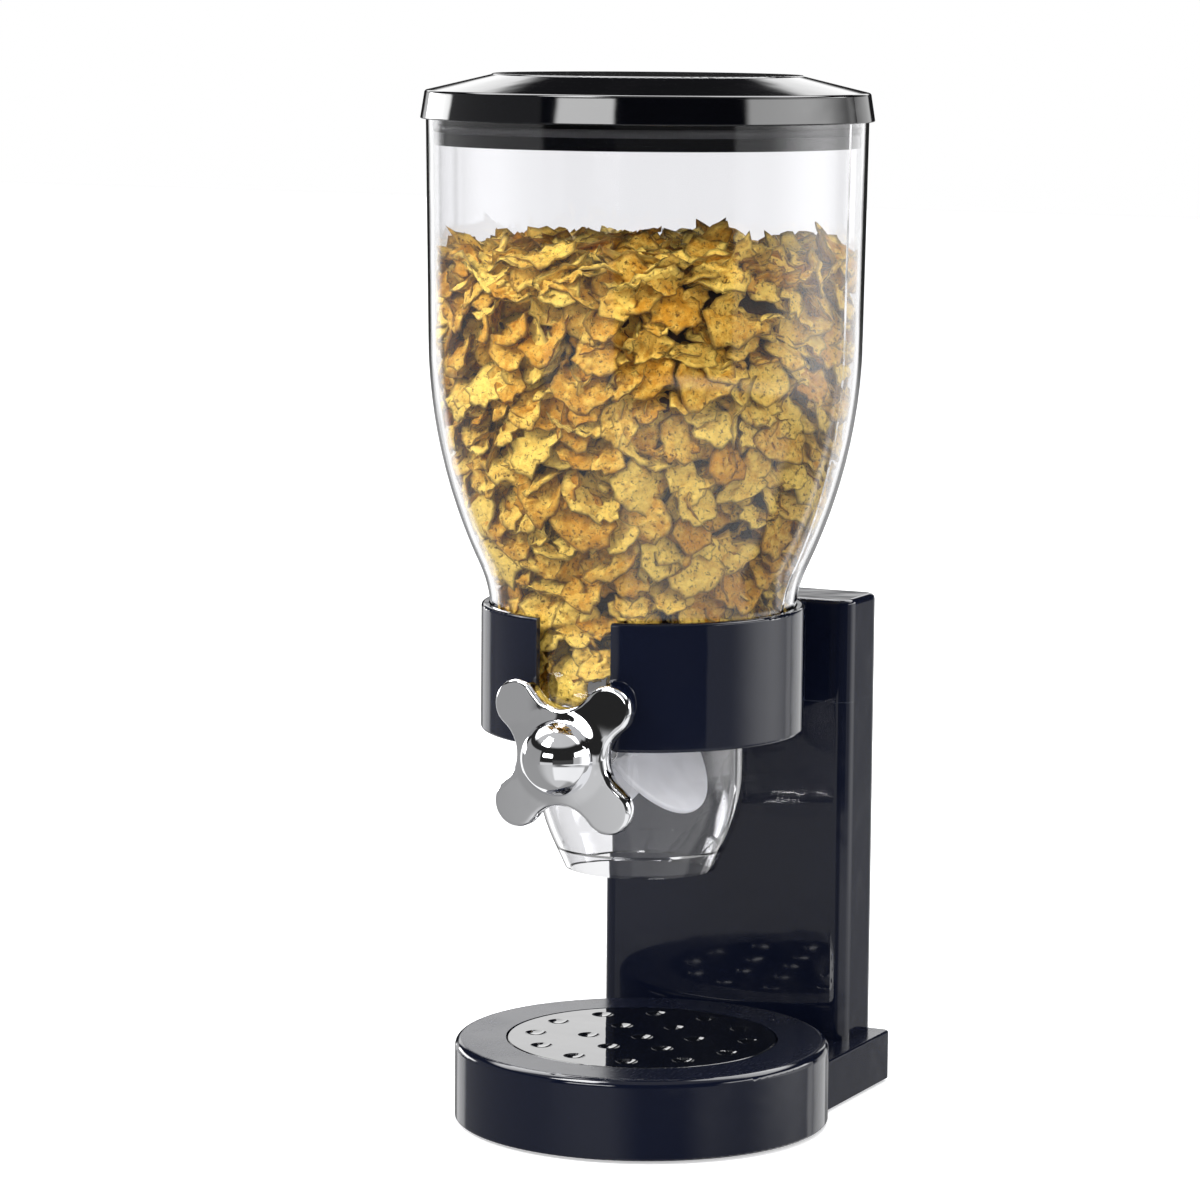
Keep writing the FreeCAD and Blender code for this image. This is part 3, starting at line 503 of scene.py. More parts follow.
@dataclass(frozen=True)
class TurnedSteel(Finish):
    """Turned bright steel, with tool rings and darker rubbed patches."""

    colour: Colour = (0.56, 0.565, 0.58)
    roughness: float = 0.22

    def fill(self, sheet: Sheet, shader: bpy.types.Node, out: bpy.types.Node) -> None:
        """Joins the steel's tone and tool rings.

        Args:
            sheet: The material's node sheet.
            shader: Its Principled shader.
            out: Its output node; not used.
        """
        rings = sheet.add("ShaderNodeTexWave",
                          {"Vector": sheet.place(), "Scale": 1100.0, "Distortion": 1.5,
                           "Detail": 2.0}, bands_direction="Y").outputs["Fac"]
        tone = sheet.mix(sheet.step(sheet.noise(120.0, 4.0), 0.4, 0.75), self.colour,
                         tuple(0.7 * c for c in self.colour))
        sheet.feed(shader.inputs["Base Color"], tone)
        shader.inputs["Metallic"].default_value = 1.0
        sheet.feed(shader.inputs["Roughness"],
                   sheet.effect(Effect.MARKS, Base=self.roughness, Spread=0.18))
        sheet.feed(shader.inputs["Normal"], sheet.bump(rings, 0.00002, 0.6))


@dataclass(frozen=True)
class ToastedFlake(Finish):
    """Toasted flake: golden and blistered, darker at the rim, paler on the blisters."""

    roughness: float = 0.62
    specular: float = 0.35
    relief_depth: float = 1.2 * MM
    dark: Colour = (0.070, 0.019, 0.001)
    middle: Colour = (0.60, 0.265, 0.011)
    light: Colour = (0.98, 0.69, 0.13)

    def fill(self, sheet: Sheet, shader: bpy.types.Node, out: bpy.types.Node) -> None:
        """Joins the toasting, the rim and the blistered relief.

        Args:
            sheet: The material's node sheet.
            shader: Its Principled shader.
            out: Its output node; not used.
        """
        tone = sheet.add("ShaderNodeAttribute", attribute_name="tone").outputs["Fac"]
        rim = sheet.add("ShaderNodeAttribute", attribute_name="rim").outputs["Fac"]
        patches = sheet.noise(230.0, 6.0, 0.66)
        toast = sheet.maths("ADD", sheet.product(patches, 1.1), sheet.product(tone, 0.42))
        pale = sheet.mix(sheet.step(toast, 0.45, 0.98), self.middle, self.light)
        scorched = sheet.maths("MAXIMUM", sheet.step(rim, 0.84, 1.02, 0.0, 0.7),
                               sheet.step(sheet.noise(560.0, 5.0, 0.7), 0.52, 0.66, 0.0, 0.85))
        sheet.feed(shader.inputs["Base Color"], sheet.mix(scorched, pale, self.dark))
        shader.inputs["Roughness"].default_value = self.roughness
        shader.inputs["Specular IOR Level"].default_value = self.specular
        cells = sheet.add("ShaderNodeTexVoronoi", {"Vector": sheet.place(), "Scale": 480.0},
                          feature="SMOOTH_F1").outputs["Distance"]
        relief = sheet.maths("ADD", sheet.noise(620.0, 5.0, 0.65), sheet.product(cells, 0.8))
        sheet.feed(shader.inputs["Normal"], sheet.bump(relief, self.relief_depth))


@dataclass(frozen=True)
class CrumbPaintedShade(Finish):
    """Crumb mass inside the flakes, coloured near black as painted shade in the gaps between
    them.
    """

    # Near-black brown: painted shade for the gaps between flakes, far darker than the flakes'
    # own toast.
    colour: Colour = (0.036, 0.013, 0.003)
    paler: float = 2.6
    relief_depth: float = 3.0 * MM

    def fill(self, sheet: Sheet, shader: bpy.types.Node, out: bpy.types.Node) -> None:
        """Joins the crumb's tone and relief.

        Args:
            sheet: The material's node sheet.
            shader: Its Principled shader.
            out: Its output node; not used.
        """
        lumps = sheet.noise(260.0, 5.0, 0.65)
        tone = sheet.mix(sheet.step(lumps, 0.35, 0.75), self.colour,
                         tuple(self.paler * c for c in self.colour))
        sheet.feed(shader.inputs["Base Color"], tone)
        shader.inputs["Roughness"].default_value = 0.9
        sheet.feed(shader.inputs["Normal"], sheet.bump(lumps, self.relief_depth))


@dataclass(frozen=True)
class PaleFloor(Finish):
    """Plain pale studio floor."""

    colour: Colour = (0.90, 0.90, 0.905)
    paler: Colour = (0.95, 0.95, 0.95)
    glow: float = 0.48

    def fill(self, sheet: Sheet, shader: bpy.types.Node, out: bpy.types.Node) -> None:
        """Joins a faint paper tooth under a plain pale colour.

        Args:
            sheet: The material's node sheet.
            shader: Its Principled shader.
            out: Its output node; not used.
        """
        tone = sheet.mix(sheet.noise(3.0, 2.0), self.colour, self.paler)
        sheet.feed(shader.inputs["Base Color"], tone)
        shader.inputs["Roughness"].default_value = 0.9
        shader.inputs["Specular IOR Level"].default_value = 0.1
        shader.inputs["Emission Color"].default_value = (*WHITE, 1.0)
        shader.inputs["Emission Strength"].default_value = self.glow


GLOSS_BLACK = GlossyMoulding("gloss black moulding")
GLOSS_BASE = GlossyMoulding("gloss black base", satin_top=0.2)
GLOSS_LID = GlossyMoulding("gloss black lid", colour=(0.0007, 0.0008, 0.0014),
                           specular=0.42, dust=0.006)
# The tray's full edge lightening is mostly painted highlight: bright lines on its groove and
# dimple rims.
GLOSS_TRAY = GlossyMoulding("gloss black tray", colour=(0.0022, 0.0026, 0.0040),
                            roughness=0.02, spread=0.03, specular=0.6, dust=0.03,
                            wear_and_highlight=1.0)
SATIN_BLACK = SatinMoulding("satin black moulding")
CLEAR = ClearMoulding("clear canister wall")
WHITE_BUSH = SatinMoulding("white bearing plastic", colour=(0.78, 0.78, 0.77),
                           roughness=0.3, grain=0.00002)
GREY_HUB = SatinMoulding("grey hub plastic", colour=(0.58, 0.59, 0.61), roughness=0.35,
                         grain=0.00003)
# The wheel's emission is a painted glow that brightens it inside the chute.
SOFT_WHEEL = SoftMoulding("pale grey wheel silicone", colour=(0.86, 0.865, 0.885),
                          painted_glow=0.10)
SOFT_SEAL = SoftMoulding("black seal", colour=(0.02, 0.02, 0.022), roughness=0.5, glow=0.0)
FOOT_RUBBER = SoftMoulding("black foot rubber", colour=(0.022, 0.022, 0.022),
                           roughness=0.7, grain=0.0001, glow=0.0)
STEEL = TurnedSteel("turned steel")
CHROME = PlatedMoulding("chrome plate")
FLAKE = ToastedFlake("toasted flake")
# Painted shade: the dark crumb that fills the gaps between flakes.
CRUMB_PAINTED_SHADE = CrumbPaintedShade("crumb painted as shade")
FLOOR = PaleFloor("pale floor")


# ------------------------------------------------------------------ mesh helpers
def paint(obj: bpy.types.Object, finish: Finish) -> None:
    """Gives every material slot of an object one finish.

    Args:
        obj: The object.
        finish: What it is made of.
    """
    if not obj.material_slots:
        obj.data.materials.append(finish.material())
    for slot in obj.material_slots:
        slot.material = finish.material()


def mesh_object(name: str, points: np.ndarray, faces: Sequence[Sequence[int]],
                finish: Finish) -> bpy.types.Object:
    """Makes a smooth shaded mesh object.

    Args:
        name: The piece's name.
        points: Vertex places, one row each.
        faces: Vertex numbers of each face.
        finish: What the piece is made of.

    Returns:
        The object, linked to the scene.
    """
    mesh = bpy.data.meshes.new(name)
    mesh.from_pydata(points.tolist(), [], faces)
    mesh.validate()
    skin = bmesh.new()
    skin.from_mesh(mesh)
    bmesh.ops.recalc_face_normals(skin, faces=skin.faces)
    skin.to_mesh(mesh)
    skin.free()
    mesh.shade_smooth()
    obj = bpy.data.objects.new(name, mesh)
    bpy.context.scene.collection.objects.link(obj)
    paint(obj, finish)
    return obj


def put_on(obj: bpy.types.Object, body: Body,
           stands_for: Sequence[str] = ()) -> None:
    """Makes a piece ride on a body.

    Args:
        obj: The finished piece.
        body: What it moves with.
        stands_for: CAD nodes that it is shown in place of.
    """
    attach(obj, body.value)
    if stands_for:
        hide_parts(*stands_for)
    log.info("built %s: %d faces on %s", obj.name, len(obj.data.polygons), body.value)


def rings_to_faces(rings: int, spokes: int) -> list[tuple[int, ...]]:
    """Quads between closed rings of points that follow each other.

    Args:
        rings: How many rings there are.
        spokes: Points in each ring.

    Returns:
        The faces, wound the same way.
    """
    faces = []
    for ring in range(rings - 1):
        low, high = ring * spokes, (ring + 1) * spokes
        for i in range(spokes):
            j = (i + 1) % spokes
            faces.append((low + i, low + j, high + j, high + i))
    return faces


def fan(tip: int, first: int, spokes: int, turned: bool = False) -> list[tuple[int, ...]]:
    """Triangles between one point and a closed ring.

    Args:
        tip: The point's number.
        first: Number of the ring's first point.
        spokes: Points in the ring.
        turned: Whether the triangles are wound the other way.

    Returns:
        The faces.
    """
    pairs = [(first + i, first + (i + 1) % spokes) for i in range(spokes)]
    return [(tip, b, a) if turned else (tip, a, b) for a, b in pairs]


def closed_skin(rings: Sequence[np.ndarray], tips: Sequence[Sequence[float]]
                ) -> tuple[np.ndarray, list[tuple[int, ...]]]:
    """Joins a stack of rings and closes both of its ends with a point.

    Args:
        rings: The points of each ring, in order.
        tips: The point that closes the first ring, and the one that closes the last.

    Returns:
        All points, and the faces between them.
    """
    spokes, end = len(rings[0]), len(rings) * len(rings[0])
    faces = rings_to_faces(len(rings), spokes) + fan(end, 0, spokes, turned=True)
    faces += fan(end + 1, end - spokes, spokes)
    return np.concatenate([*rings, tips]), faces


def turns(count: int) -> np.ndarray:
    """Evenly spaced angles of a full turn."""
    return np.arange(count) * 2 * math.pi / count


def smooth_step(low: float, high: float, value: np.ndarray) -> np.ndarray:
    """A smooth step from 0 at low to 1 at high."""
    t = np.clip((value - low) / (high - low), 0.0, 1.0)
    return t * t * (3.0 - 2.0 * t)


# ------------------------------------------------------------------ sub-assemblies
@dataclass
class Dressing:
    """A group of the frame's own nodes and the finish that each one gets."""

    title: str
    finishes: dict[str, Finish]

    def dress(self, nodes: dict[str, bpy.types.Object]) -> None:
        """Paints every node of the group.

        Args:
            nodes: The frame's nodes by name.
        """
        for name, finish in self.finishes.items():
            paint(nodes[name], finish)
            log.info("dressed %s of the %s: %s", name, self.title, finish.name)


@dataclass
class Stand(Dressing):
    """Base, column and collar, all one body."""

    title: str = "stand"
    finishes: dict[str, Finish] = field(default_factory=lambda: {
        "base_shell": GLOSS_BASE,
        "column_shell": GLOSS_BLACK,
        "collar_bracket": GLOSS_BLACK,
        "base_cover": SATIN_BLACK,
        "rear_cover": SATIN_BLACK,
        "foot_front_left": FOOT_RUBBER,
        "foot_front_right": FOOT_RUBBER,
        "foot_rear_left": FOOT_RUBBER,
        "foot_rear_right": FOOT_RUBBER,
        "base_cover_screws": STEEL,
        "column_screws": STEEL,
        "rear_cover_screws": STEEL,
        "bracket_screws": STEEL,
    })


@dataclass
class Tray(Dressing):
    """Lift-out crumb tray."""

    title: str = "tray"
    finishes: dict[str, Finish] = field(default_factory=lambda: {"crumb_tray": GLOSS_TRAY})


@dataclass
class Canister(Dressing):
    """Clear hopper and chute with the rotor's bearings."""

    title: str = "canister"
    finishes: dict[str, Finish] = field(default_factory=lambda: {
        "canister": CLEAR,
        "front_bushing": WHITE_BUSH,
        "rear_bushing": WHITE_BUSH,
    })


@dataclass
class Lid(Dressing):
    """Lid, its plug and its soft ring."""

    title: str = "lid"
    finishes: dict[str, Finish] = field(default_factory=lambda: {
        "lid_top": GLOSS_LID,
        "lid_plug": GLOSS_LID,
        "lid_seal": SOFT_SEAL,
    })


@dataclass
class Rotor(Dressing):
    """Shaft, soft wheel and plated knob. The knob and its dome are built here."""

    title: str = "rotor"
    finishes: dict[str, Finish] = field(default_factory=lambda: {
        "shaft": STEEL,
        "shaft_clip": STEEL,
        "knob_screw": STEEL,
        "rotor_hub": GREY_HUB,
        "rotor_wheel": SOFT_WHEEL,
        "knob_sleeve": GREY_HUB,
    })
    thickness: float = 7.5 * MM
    lobe_radius: float = 8.9 * MM
    lobe_centre: float = 26.0 * MM
    waist: float = 17.8 * MM
    crown_radius: float = 0.260
    edge_round: float = 1.5 * MM
    rear_round: float = 0.8 * MM
    boss_radius: float = 8.5 * MM
    dome_radius: float = 14.0 * MM
    skirt: float = 5.0 * MM
    skirt_rise: float = 1.2 * MM
    bore_share: float = 0.36
    spokes: int = 288
    face_rings: int = 36
    edge_rings: int = 12
    edge_share: float = 0.9
    rear_rings: int = 5
    back_rings: int = 8
    dome_spokes: int = 160
    dome_rings: int = 40
    dome_root: float = 1.0 * MM
    axis_z: float = field(init=False, default=0.0)
    front: float = field(init=False, default=0.0)

    def build(self) -> None:
        """Builds the knob and its dome."""
        low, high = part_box("knob")
        self.axis_z = (low.z + high.z) / 2
        self.front = low.y
        self.build_knob(high.y)
        self.build_dome()

    def reach(self, angle: np.ndarray) -> np.ndarray:
        """Distance from the axis to the knob's outline.

        Four round lobes at 45 degrees are joined by hollow arcs that touch them.

        Args:
            angle: Angles from +X.

        Returns:
            The distance at each angle.
        """
        beside = self.lobe_centre / math.sqrt(2)
        inset = self.waist - self.lobe_radius
        hollow_centre = (2 * beside ** 2 - inset ** 2) / (2 * (beside - inset))
        hollow_radius = hollow_centre - self.waist
        share = hollow_radius / (hollow_radius + self.lobe_radius)
        touch = math.atan2(beside * share, hollow_centre + (beside - hollow_centre) * share)
        turn = np.abs((angle + math.pi / 4) % (math.pi / 2) - math.pi / 4)
        aside = hollow_centre * np.sin(turn)
        hollow = hollow_centre * np.cos(turn) - np.sqrt(
            np.maximum(hollow_radius ** 2 - aside ** 2, 0.0))
        off = self.lobe_centre * np.sin(math.pi / 4 - turn)
        lobe = self.lobe_centre * np.cos(math.pi / 4 - turn) + np.sqrt(
            np.maximum(self.lobe_radius ** 2 - off ** 2, 0.0))
        return np.where(turn < touch, hollow, lobe)

    def depth_inside(self, across: np.ndarray, up: np.ndarray) -> np.ndarray:
        """How far points of the knob's face lie inside its outline.

        Args:
            across: Places along X from the axis.
            up: Places along Z from the axis.

        Returns:
            Each point's distance to the outline.
        """
        angle = np.linspace(0, 2 * math.pi, 1440, endpoint=False)
        rim = self.reach(angle)
        gap = np.hypot(across[:, None] - rim * np.cos(angle), up[:, None] - rim * np.sin(angle))
        return gap.min(axis=1)

    def build_knob(self, boss_end: float) -> None:
        """Builds the four-lobed knob.

        Args:
            boss_end: Y of its boss's rear face.
        """
        angle = turns(self.spokes)
        reach = self.reach(angle)
        across, up = reach * np.cos(angle), reach * np.sin(angle)
        rear = self.front + self.thickness
        quarter = math.pi / 2
        shares = np.concatenate([
            np.linspace(0.0, self.edge_share, self.face_rings + 1)[1:],
            self.edge_share + (1 - self.edge_share) * np.sin(
                np.linspace(0, quarter, self.edge_rings + 1)[1:])])
        sections = [(share, self.front + self.face_drop(share * across, share * up))
                    for share in shares]
        for turn in np.linspace(0, quarter, self.rear_rings + 1)[1:]:
            sections.append((1 - self.rear_round * (1 - math.cos(turn)) / reach,
                             rear - self.rear_round * (1 - math.sin(turn))))
        boss = self.boss_radius / reach
        for share in np.linspace(0.93, 0.3, self.back_rings):
            sections.append((np.maximum(share, boss), rear))
        sections += [(boss * 0.999, boss_end), (boss * self.bore_share, boss_end)]
        rings = [np.column_stack([share * across, np.broadcast_to(y, self.spokes),
                                  self.axis_z + share * up]) for share, y in sections]
        tips = [[0.0, self.front, self.axis_z], [0.0, boss_end, self.axis_z]]
        knob = mesh_object("knob_clover", *closed_skin(rings, tips), CHROME)
        put_on(knob, Body.ROTOR, ["knob"])

    def face_drop(self, across: np.ndarray, up: np.ndarray) -> np.ndarray:
        """How far the knob's face lies behind its frontmost plane.

        Args:
            across: Places along X from the axis.
            up: Places along Z from the axis.

        Returns:
            The drop at each point, crowned and rounded at the edge.
        """
        inside = np.maximum(self.depth_inside(across, up), 0.0)
        lack = np.maximum(self.edge_round - inside, 0.0)
        drop = self.edge_round - np.sqrt(np.maximum(self.edge_round ** 2 - lack ** 2, 0.0))
        radius = np.hypot(across, up)
        drop = drop + radius ** 2 / (2 * self.crown_radius)
        rise = self.skirt_rise * (1 - smooth_step(self.dome_radius - 2 * MM,
                                                  self.dome_radius + self.skirt, radius))
        return drop - rise

    def build_dome(self) -> None:
        """Builds the domed cap in the knob's middle."""
        low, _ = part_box("knob_cap")
        height, spokes = self.front - low.y, self.dome_spokes
        angle = turns(spokes)
        sections = [(self.dome_radius * math.sin(turn), self.front - height * math.cos(turn))
                    for turn in np.linspace(0, math.pi / 2, self.dome_rings + 1)[1:]]
        root = self.front + self.dome_root
        sections.append((self.dome_radius, root))
        rings = [np.column_stack([radius * np.cos(angle), np.full(spokes, y),
                                  self.axis_z + radius * np.sin(angle)])
                 for radius, y in sections]
        tips = [[0.0, self.front - height, self.axis_z], [0.0, root, self.axis_z]]
        dome = mesh_object("knob_dome", *closed_skin(rings, tips), CHROME)
        put_on(dome, Body.ROTOR, ["knob_cap"])


@dataclass
class CerealFill:
    """Toasted flakes that fill the canister. They are its contents, not part of it.

    The spans of flake, curl, blister and ripple sizes are in millimetres. Each layer gives its
    name, its gap to the wall, how many flakes it has and how far they lean.
    """

    seed: int = 11
    kinds: int = 28
    rings: int = 6
    spokes: int = 20
    floor: float = 163.0 * MM
    level: float = 330.0 * MM
    wheel_clearance: float = 37.2 * MM
    wall_gap: float = 0.5 * MM
    layers: tuple[tuple[str, float, int, float], ...] = (
        ("cereal_outer", 3.6 * MM, 400, 0.55),
        ("cereal_middle", 7.2 * MM, 400, 0.7),
        ("cereal_inner", 11.5 * MM, 340, 0.9),
    )
    top_flakes: int = 300
    top_radius: float = 74.0 * MM
    top_swell: float = 3.0 * MM
    core_gap: float = 14.0 * MM
    lean: float = 0.75
    flipped_share: float = 0.35
    flake_half: Span = (8.0, 13.5)
    flake_narrowing: Span = (0.6, 0.95)
    curl_radius: Span = (9, 26)
    blister_width: Span = (1.2, 2.4)
    blister_height: Span = (-0.6, 1.3)
    ripples: int = 9
    ripple_length: Span = (3.6, 8.5)
    ripple_height: float = 0.30 * MM
    rim_flutter: float = 0.75 * MM
    half_thickness: float = 0.55 * MM
    top_tilt: float = 0.4
    inner_gap: float = 0.6 * MM
    low_zone: float = 30.0 * MM
    low_scale: float = 0.8
    core_spokes: int = 96
    core_rings: int = 60
    core_lift: float = 40.0 * MM
    random: np.random.Generator = field(init=False, repr=False)
    shapes: list[tuple[np.ndarray, np.ndarray]] = field(init=False, repr=False)
    centre: np.ndarray = field(init=False, repr=False)
    shaft_z: float = field(init=False, default=0.0)
    heights: np.ndarray = field(init=False, repr=False)
    radii: np.ndarray = field(init=False, repr=False)

    def build(self, nodes: dict[str, bpy.types.Object]) -> None:
        """Builds the flakes against the wall, the tumbled top, and the near-black crumb inside
        that is painted shade.

        Args:
            nodes: The frame's nodes by name.
        """
        self.random = np.random.default_rng(self.seed)
        self.measure(nodes["canister"])
        self.shapes = [self.flake() for _ in range(self.kinds)]
        for name, gap, count, tilt in self.layers:
            self.build_layer(name, gap, count, tilt)
        self.build_top()
        self.build_core()

    def measure(self, canister: bpy.types.Object) -> None:
        """Measures the canister's axis and its inner radius at each height.

        Args:
            canister: The clear canister's object.
        """
        low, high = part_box("lid_top")
        self.centre = np.array([(low.x + high.x) / 2, (low.y + high.y) / 2])
        shaft_low, shaft_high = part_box("shaft")
        self.shaft_z = (shaft_low.z + shaft_high.z) / 2
        tree = BVHTree.FromObject(canister, bpy.context.evaluated_depsgraph_get())
        self.heights = np.linspace(self.floor - 1.5 * MM, 0.38, 120)
        radii = []
        for z in self.heights:
            start = Vector((self.centre[0], self.centre[1], z))
            hit = tree.ray_cast(start, Vector((1.0, 0.0, 0.0)))[0]
            radii.append(hit.x - start.x if hit else 0.05)
        self.radii = np.array(radii)

    def inner_radius(self, height: np.ndarray | float) -> np.ndarray:
        """The canister's inner radius at a height."""
        return np.interp(height, self.heights, self.radii)

    def flake(self) -> tuple[np.ndarray, np.ndarray]:
        """One flake's shape.

        Returns:
            Its points, with the outer face's first, and how near the rim each one is.
        """
        rnd, circle = self.random, 2 * math.pi
        angle = turns(self.spokes)
        outline = np.ones(self.spokes)
        for wave in range(2, 9):
            outline += rnd.normal(0, 0.085 / wave ** 0.35) * np.cos(
                wave * angle + rnd.uniform(0, circle))
        for _ in range(rnd.integers(1, 4)):
            aside = (angle - rnd.uniform(0, circle) + math.pi) % circle - math.pi
            outline -= rnd.uniform(0.08, 0.24) * np.exp(-(aside / 0.25) ** 2)
        outline = np.clip(outline, 0.5, 1.4)
        half = rnd.uniform(*self.flake_half) * MM
        share = np.linspace(0, 1, self.rings + 1)[1:, None]
        x = np.append((half * share * outline * np.cos(angle)).ravel(), 0.0)
        y = np.append((half * rnd.uniform(*self.flake_narrowing) * share * outline
                       * np.sin(angle)).ravel(), 0.0)
        rim = np.append(np.repeat(share, self.spokes, axis=1).ravel(), 0.0)
        turn = rnd.uniform(0, circle)
        along = x * math.cos(turn) + y * math.sin(turn)
        across = -x * math.sin(turn) + y * math.cos(turn)
        z = along ** 2 / (2 * rnd.uniform(*self.curl_radius) * MM)
        z += across ** 2 * rnd.uniform(-16, 16) + x * y * rnd.uniform(-30, 30)
        for _ in range(self.ripples):
            ripple = rnd.uniform(0, circle)
            length = rnd.uniform(*self.ripple_length) * MM
            phase = circle * (x * math.cos(ripple) + y * math.sin(ripple)) / length
            z += self.ripple_height * np.sin(phase + rnd.uniform(0, circle))
        for _ in range(rnd.integers(4, 9)):
            spot = rnd.uniform(-0.8, 0.8, 2) * half
            width = rnd.uniform(*self.blister_width) * MM
            z += rnd.uniform(*self.blister_height) * MM * np.exp(
                -((x - spot[0]) ** 2 + (y - spot[1]) ** 2) / (2 * width ** 2))
        spoke_angle = np.append(np.tile(angle, self.rings), 0.0)
        z += self.rim_flutter * rim ** 3 * np.sin(rnd.integers(3, 7) * spoke_angle
                                                  + rnd.uniform(0, circle))
        half_thick = self.half_thickness * (1 - 0.5 * rim ** 3)
        outer = np.column_stack([x, y, z + half_thick])
        inner = np.column_stack([x, y, z - half_thick])
        return np.concatenate([outer, inner]), np.concatenate([rim, rim])

    def flake_faces(self) -> list[tuple[int, ...]]:
        """Builds the faces that every flake shares.

        Returns:
            The faces of both sides and of the thin edge between them.
        """
        ring, side = self.spokes, self.spokes * self.rings + 1
        faces = rings_to_faces(self.rings, ring) + fan(side - 1, 0, ring, turned=True)
        faces += [tuple(side + v for v in reversed(face)) for face in faces]
        last = (self.rings - 1) * ring
        for i in range(ring):
            j = (i + 1) % ring
            faces.append((last + j, last + i, side + last + i, side + last + j))
        return faces

    def keep_inside(self, points: np.ndarray, outer_count: int) -> np.ndarray:
        """Moves a flake's points off the wall and the wheel's sweep.

        Args:
            points: The flake's points in the frame.
            outer_count: How many of them are its outer face.

        Returns:
            The moved points.
        """
        flat = points[:, :2] - self.centre
        points[:, 2] = np.maximum(points[:, 2], self.floor)
        radius = np.maximum(np.hypot(flat[:, 0], flat[:, 1]), 1e-6)
        limit = self.inner_radius(points[:, 2]) - self.wall_gap
        limit[outer_count:] -= self.inner_gap
        flat *= np.minimum(1.0, limit / radius)[:, None]
        points[:, :2] = flat + self.centre
        hub = np.array([self.centre[0], self.centre[1], self.shaft_z])
        away = points - hub
        distance = np.linalg.norm(away, axis=1)
        push = np.maximum(1.0, self.wheel_clearance / distance)
        return hub + away * push[:, None]

    def scatter(self, name: str, places: list[tuple[np.ndarray, np.ndarray, float]],
                tilt: float) -> None:
        """Builds one piece out of many flakes.

        Args:
            name: The piece's name.
            places: Each flake's centre, the way that it faces, and its scale.
            tilt: How far it may lean away from that, in radians.
        """
        rnd, faces = self.random, []
        one, all_points, rims, tones = self.flake_faces(), [], [], []
        start = 0
        for centre, facing, scale in places:
            shape, rim = self.shapes[rnd.integers(len(self.shapes))]
            normal = facing + rnd.normal(0, tilt * 0.6, 3)
            normal /= np.linalg.norm(normal)
            side = np.cross(normal, rnd.normal(0, 1, 3))
            side /= np.linalg.norm(side)
            axes = np.array([side, np.cross(normal, side), normal])
            if rnd.random() < self.flipped_share:
                shape = shape * [1, -1, -1]
            turned = shape @ axes * scale
            points = self.keep_inside(turned + centre, len(shape) // 2)
            all_points.append(points)
            rims.append(rim)
            tones.append(np.full(len(rim), rnd.random()))
            faces += [tuple(start + v for v in face) for face in one]
            start += len(points)
        obj = mesh_object(name, np.concatenate(all_points), faces, FLAKE)
        for label, values in (("tone", tones), ("rim", rims)):
            attribute = obj.data.attributes.new(label, "FLOAT", "POINT")
            attribute.data.foreach_set("value", np.concatenate(values).astype(np.float32))
        put_on(obj, Body.CANISTER)

    def build_layer(self, name: str, gap: float, count: int, tilt: float) -> None:
        """Builds one layer of flakes that lean against the wall.

        Args:
            name: The piece's name.
            gap: How far the flakes' centres lie from the wall.
            count: How many flakes there are.
            tilt: How far each may lean, in radians.
        """
        rnd, places = self.random, []
        heights = np.linspace(self.floor + 4 * MM, self.level - 3 * MM, 400)
        room = np.cumsum(self.inner_radius(heights))
        for i in range(count):
            share = (i + 0.5) / count
            z = float(np.interp(share * room[-1], room, heights)) + rnd.normal(0, 2 * MM)
            turn = i * GOLDEN_ANGLE + rnd.normal(0, 0.06)
            radius = float(self.inner_radius(z)) - gap - abs(rnd.normal(0, 1.2 * MM))
            slope = float(self.inner_radius(z + MM) - self.inner_radius(z - MM)) / (2 * MM)
            outward = np.array([math.cos(turn), math.sin(turn), 0.0])
            centre = np.array([*(self.centre + radius * outward[:2]), z])
            facing = outward + np.array([0.0, 0.0, self.lean - slope])
            scale = rnd.uniform(0.62, 1.12)
            if z < self.floor + self.low_zone:
                scale *= self.low_scale
            places.append((centre, facing / np.linalg.norm(facing), scale))
        self.scatter(name, places, tilt)

    def build_top(self) -> None:
        """Builds the tumbled flakes on top."""
        rnd, places = self.random, []
        for i in range(self.top_flakes):
            radius = math.sqrt((i + 0.5) / self.top_flakes) * self.top_radius
            turn = i * GOLDEN_ANGLE
            x, y = radius * math.cos(turn), radius * math.sin(turn)
            swell = self.top_swell * math.sin(x * 48 + 0.8) * math.cos(y * 40 + 0.4)
            z = self.level + swell + rnd.uniform(-7, 0.5) * MM
            centre = np.array([self.centre[0] + x, self.centre[1] + y, z])
            places.append((centre, np.array([0.0, 0.0, 1.0]), rnd.uniform(0.65, 1.1)))
        self.scatter("cereal_top", places, self.top_tilt)

    def build_core(self) -> None:
        """Builds a crumb mass inside the flakes, near black as painted shade in the gaps between
        them.
        """
        angle = turns(self.core_spokes)
        heights = np.linspace(self.shaft_z + self.core_lift, self.level - 4 * MM,
                              self.core_rings)
        radii = self.inner_radius(heights) - self.core_gap
        low, high = heights[0], heights[-1]
        rings = []
        for share, z in [(0.4, low)] + [(1.0, z) for z in heights] + [(0.4, high)]:
            wobble = 1 + 0.03 * np.sin(7 * angle + z * 300) + 0.02 * np.cos(11 * angle - z * 210)
            radius = share * np.interp(z, heights, radii) * wobble
            rings.append(np.column_stack([self.centre[0] + radius * np.cos(angle),
                                          self.centre[1] + radius * np.sin(angle),
                                          np.full(self.core_spokes, z)]))
        tips = [[*self.centre, low], [*self.centre, high]]
        # Its near-black finish is painted shade between the flakes.
        core = mesh_object("cereal_core_painted_shade", *closed_skin(rings, tips), CRUMB_PAINTED_SHADE)
        put_on(core, Body.CANISTER)


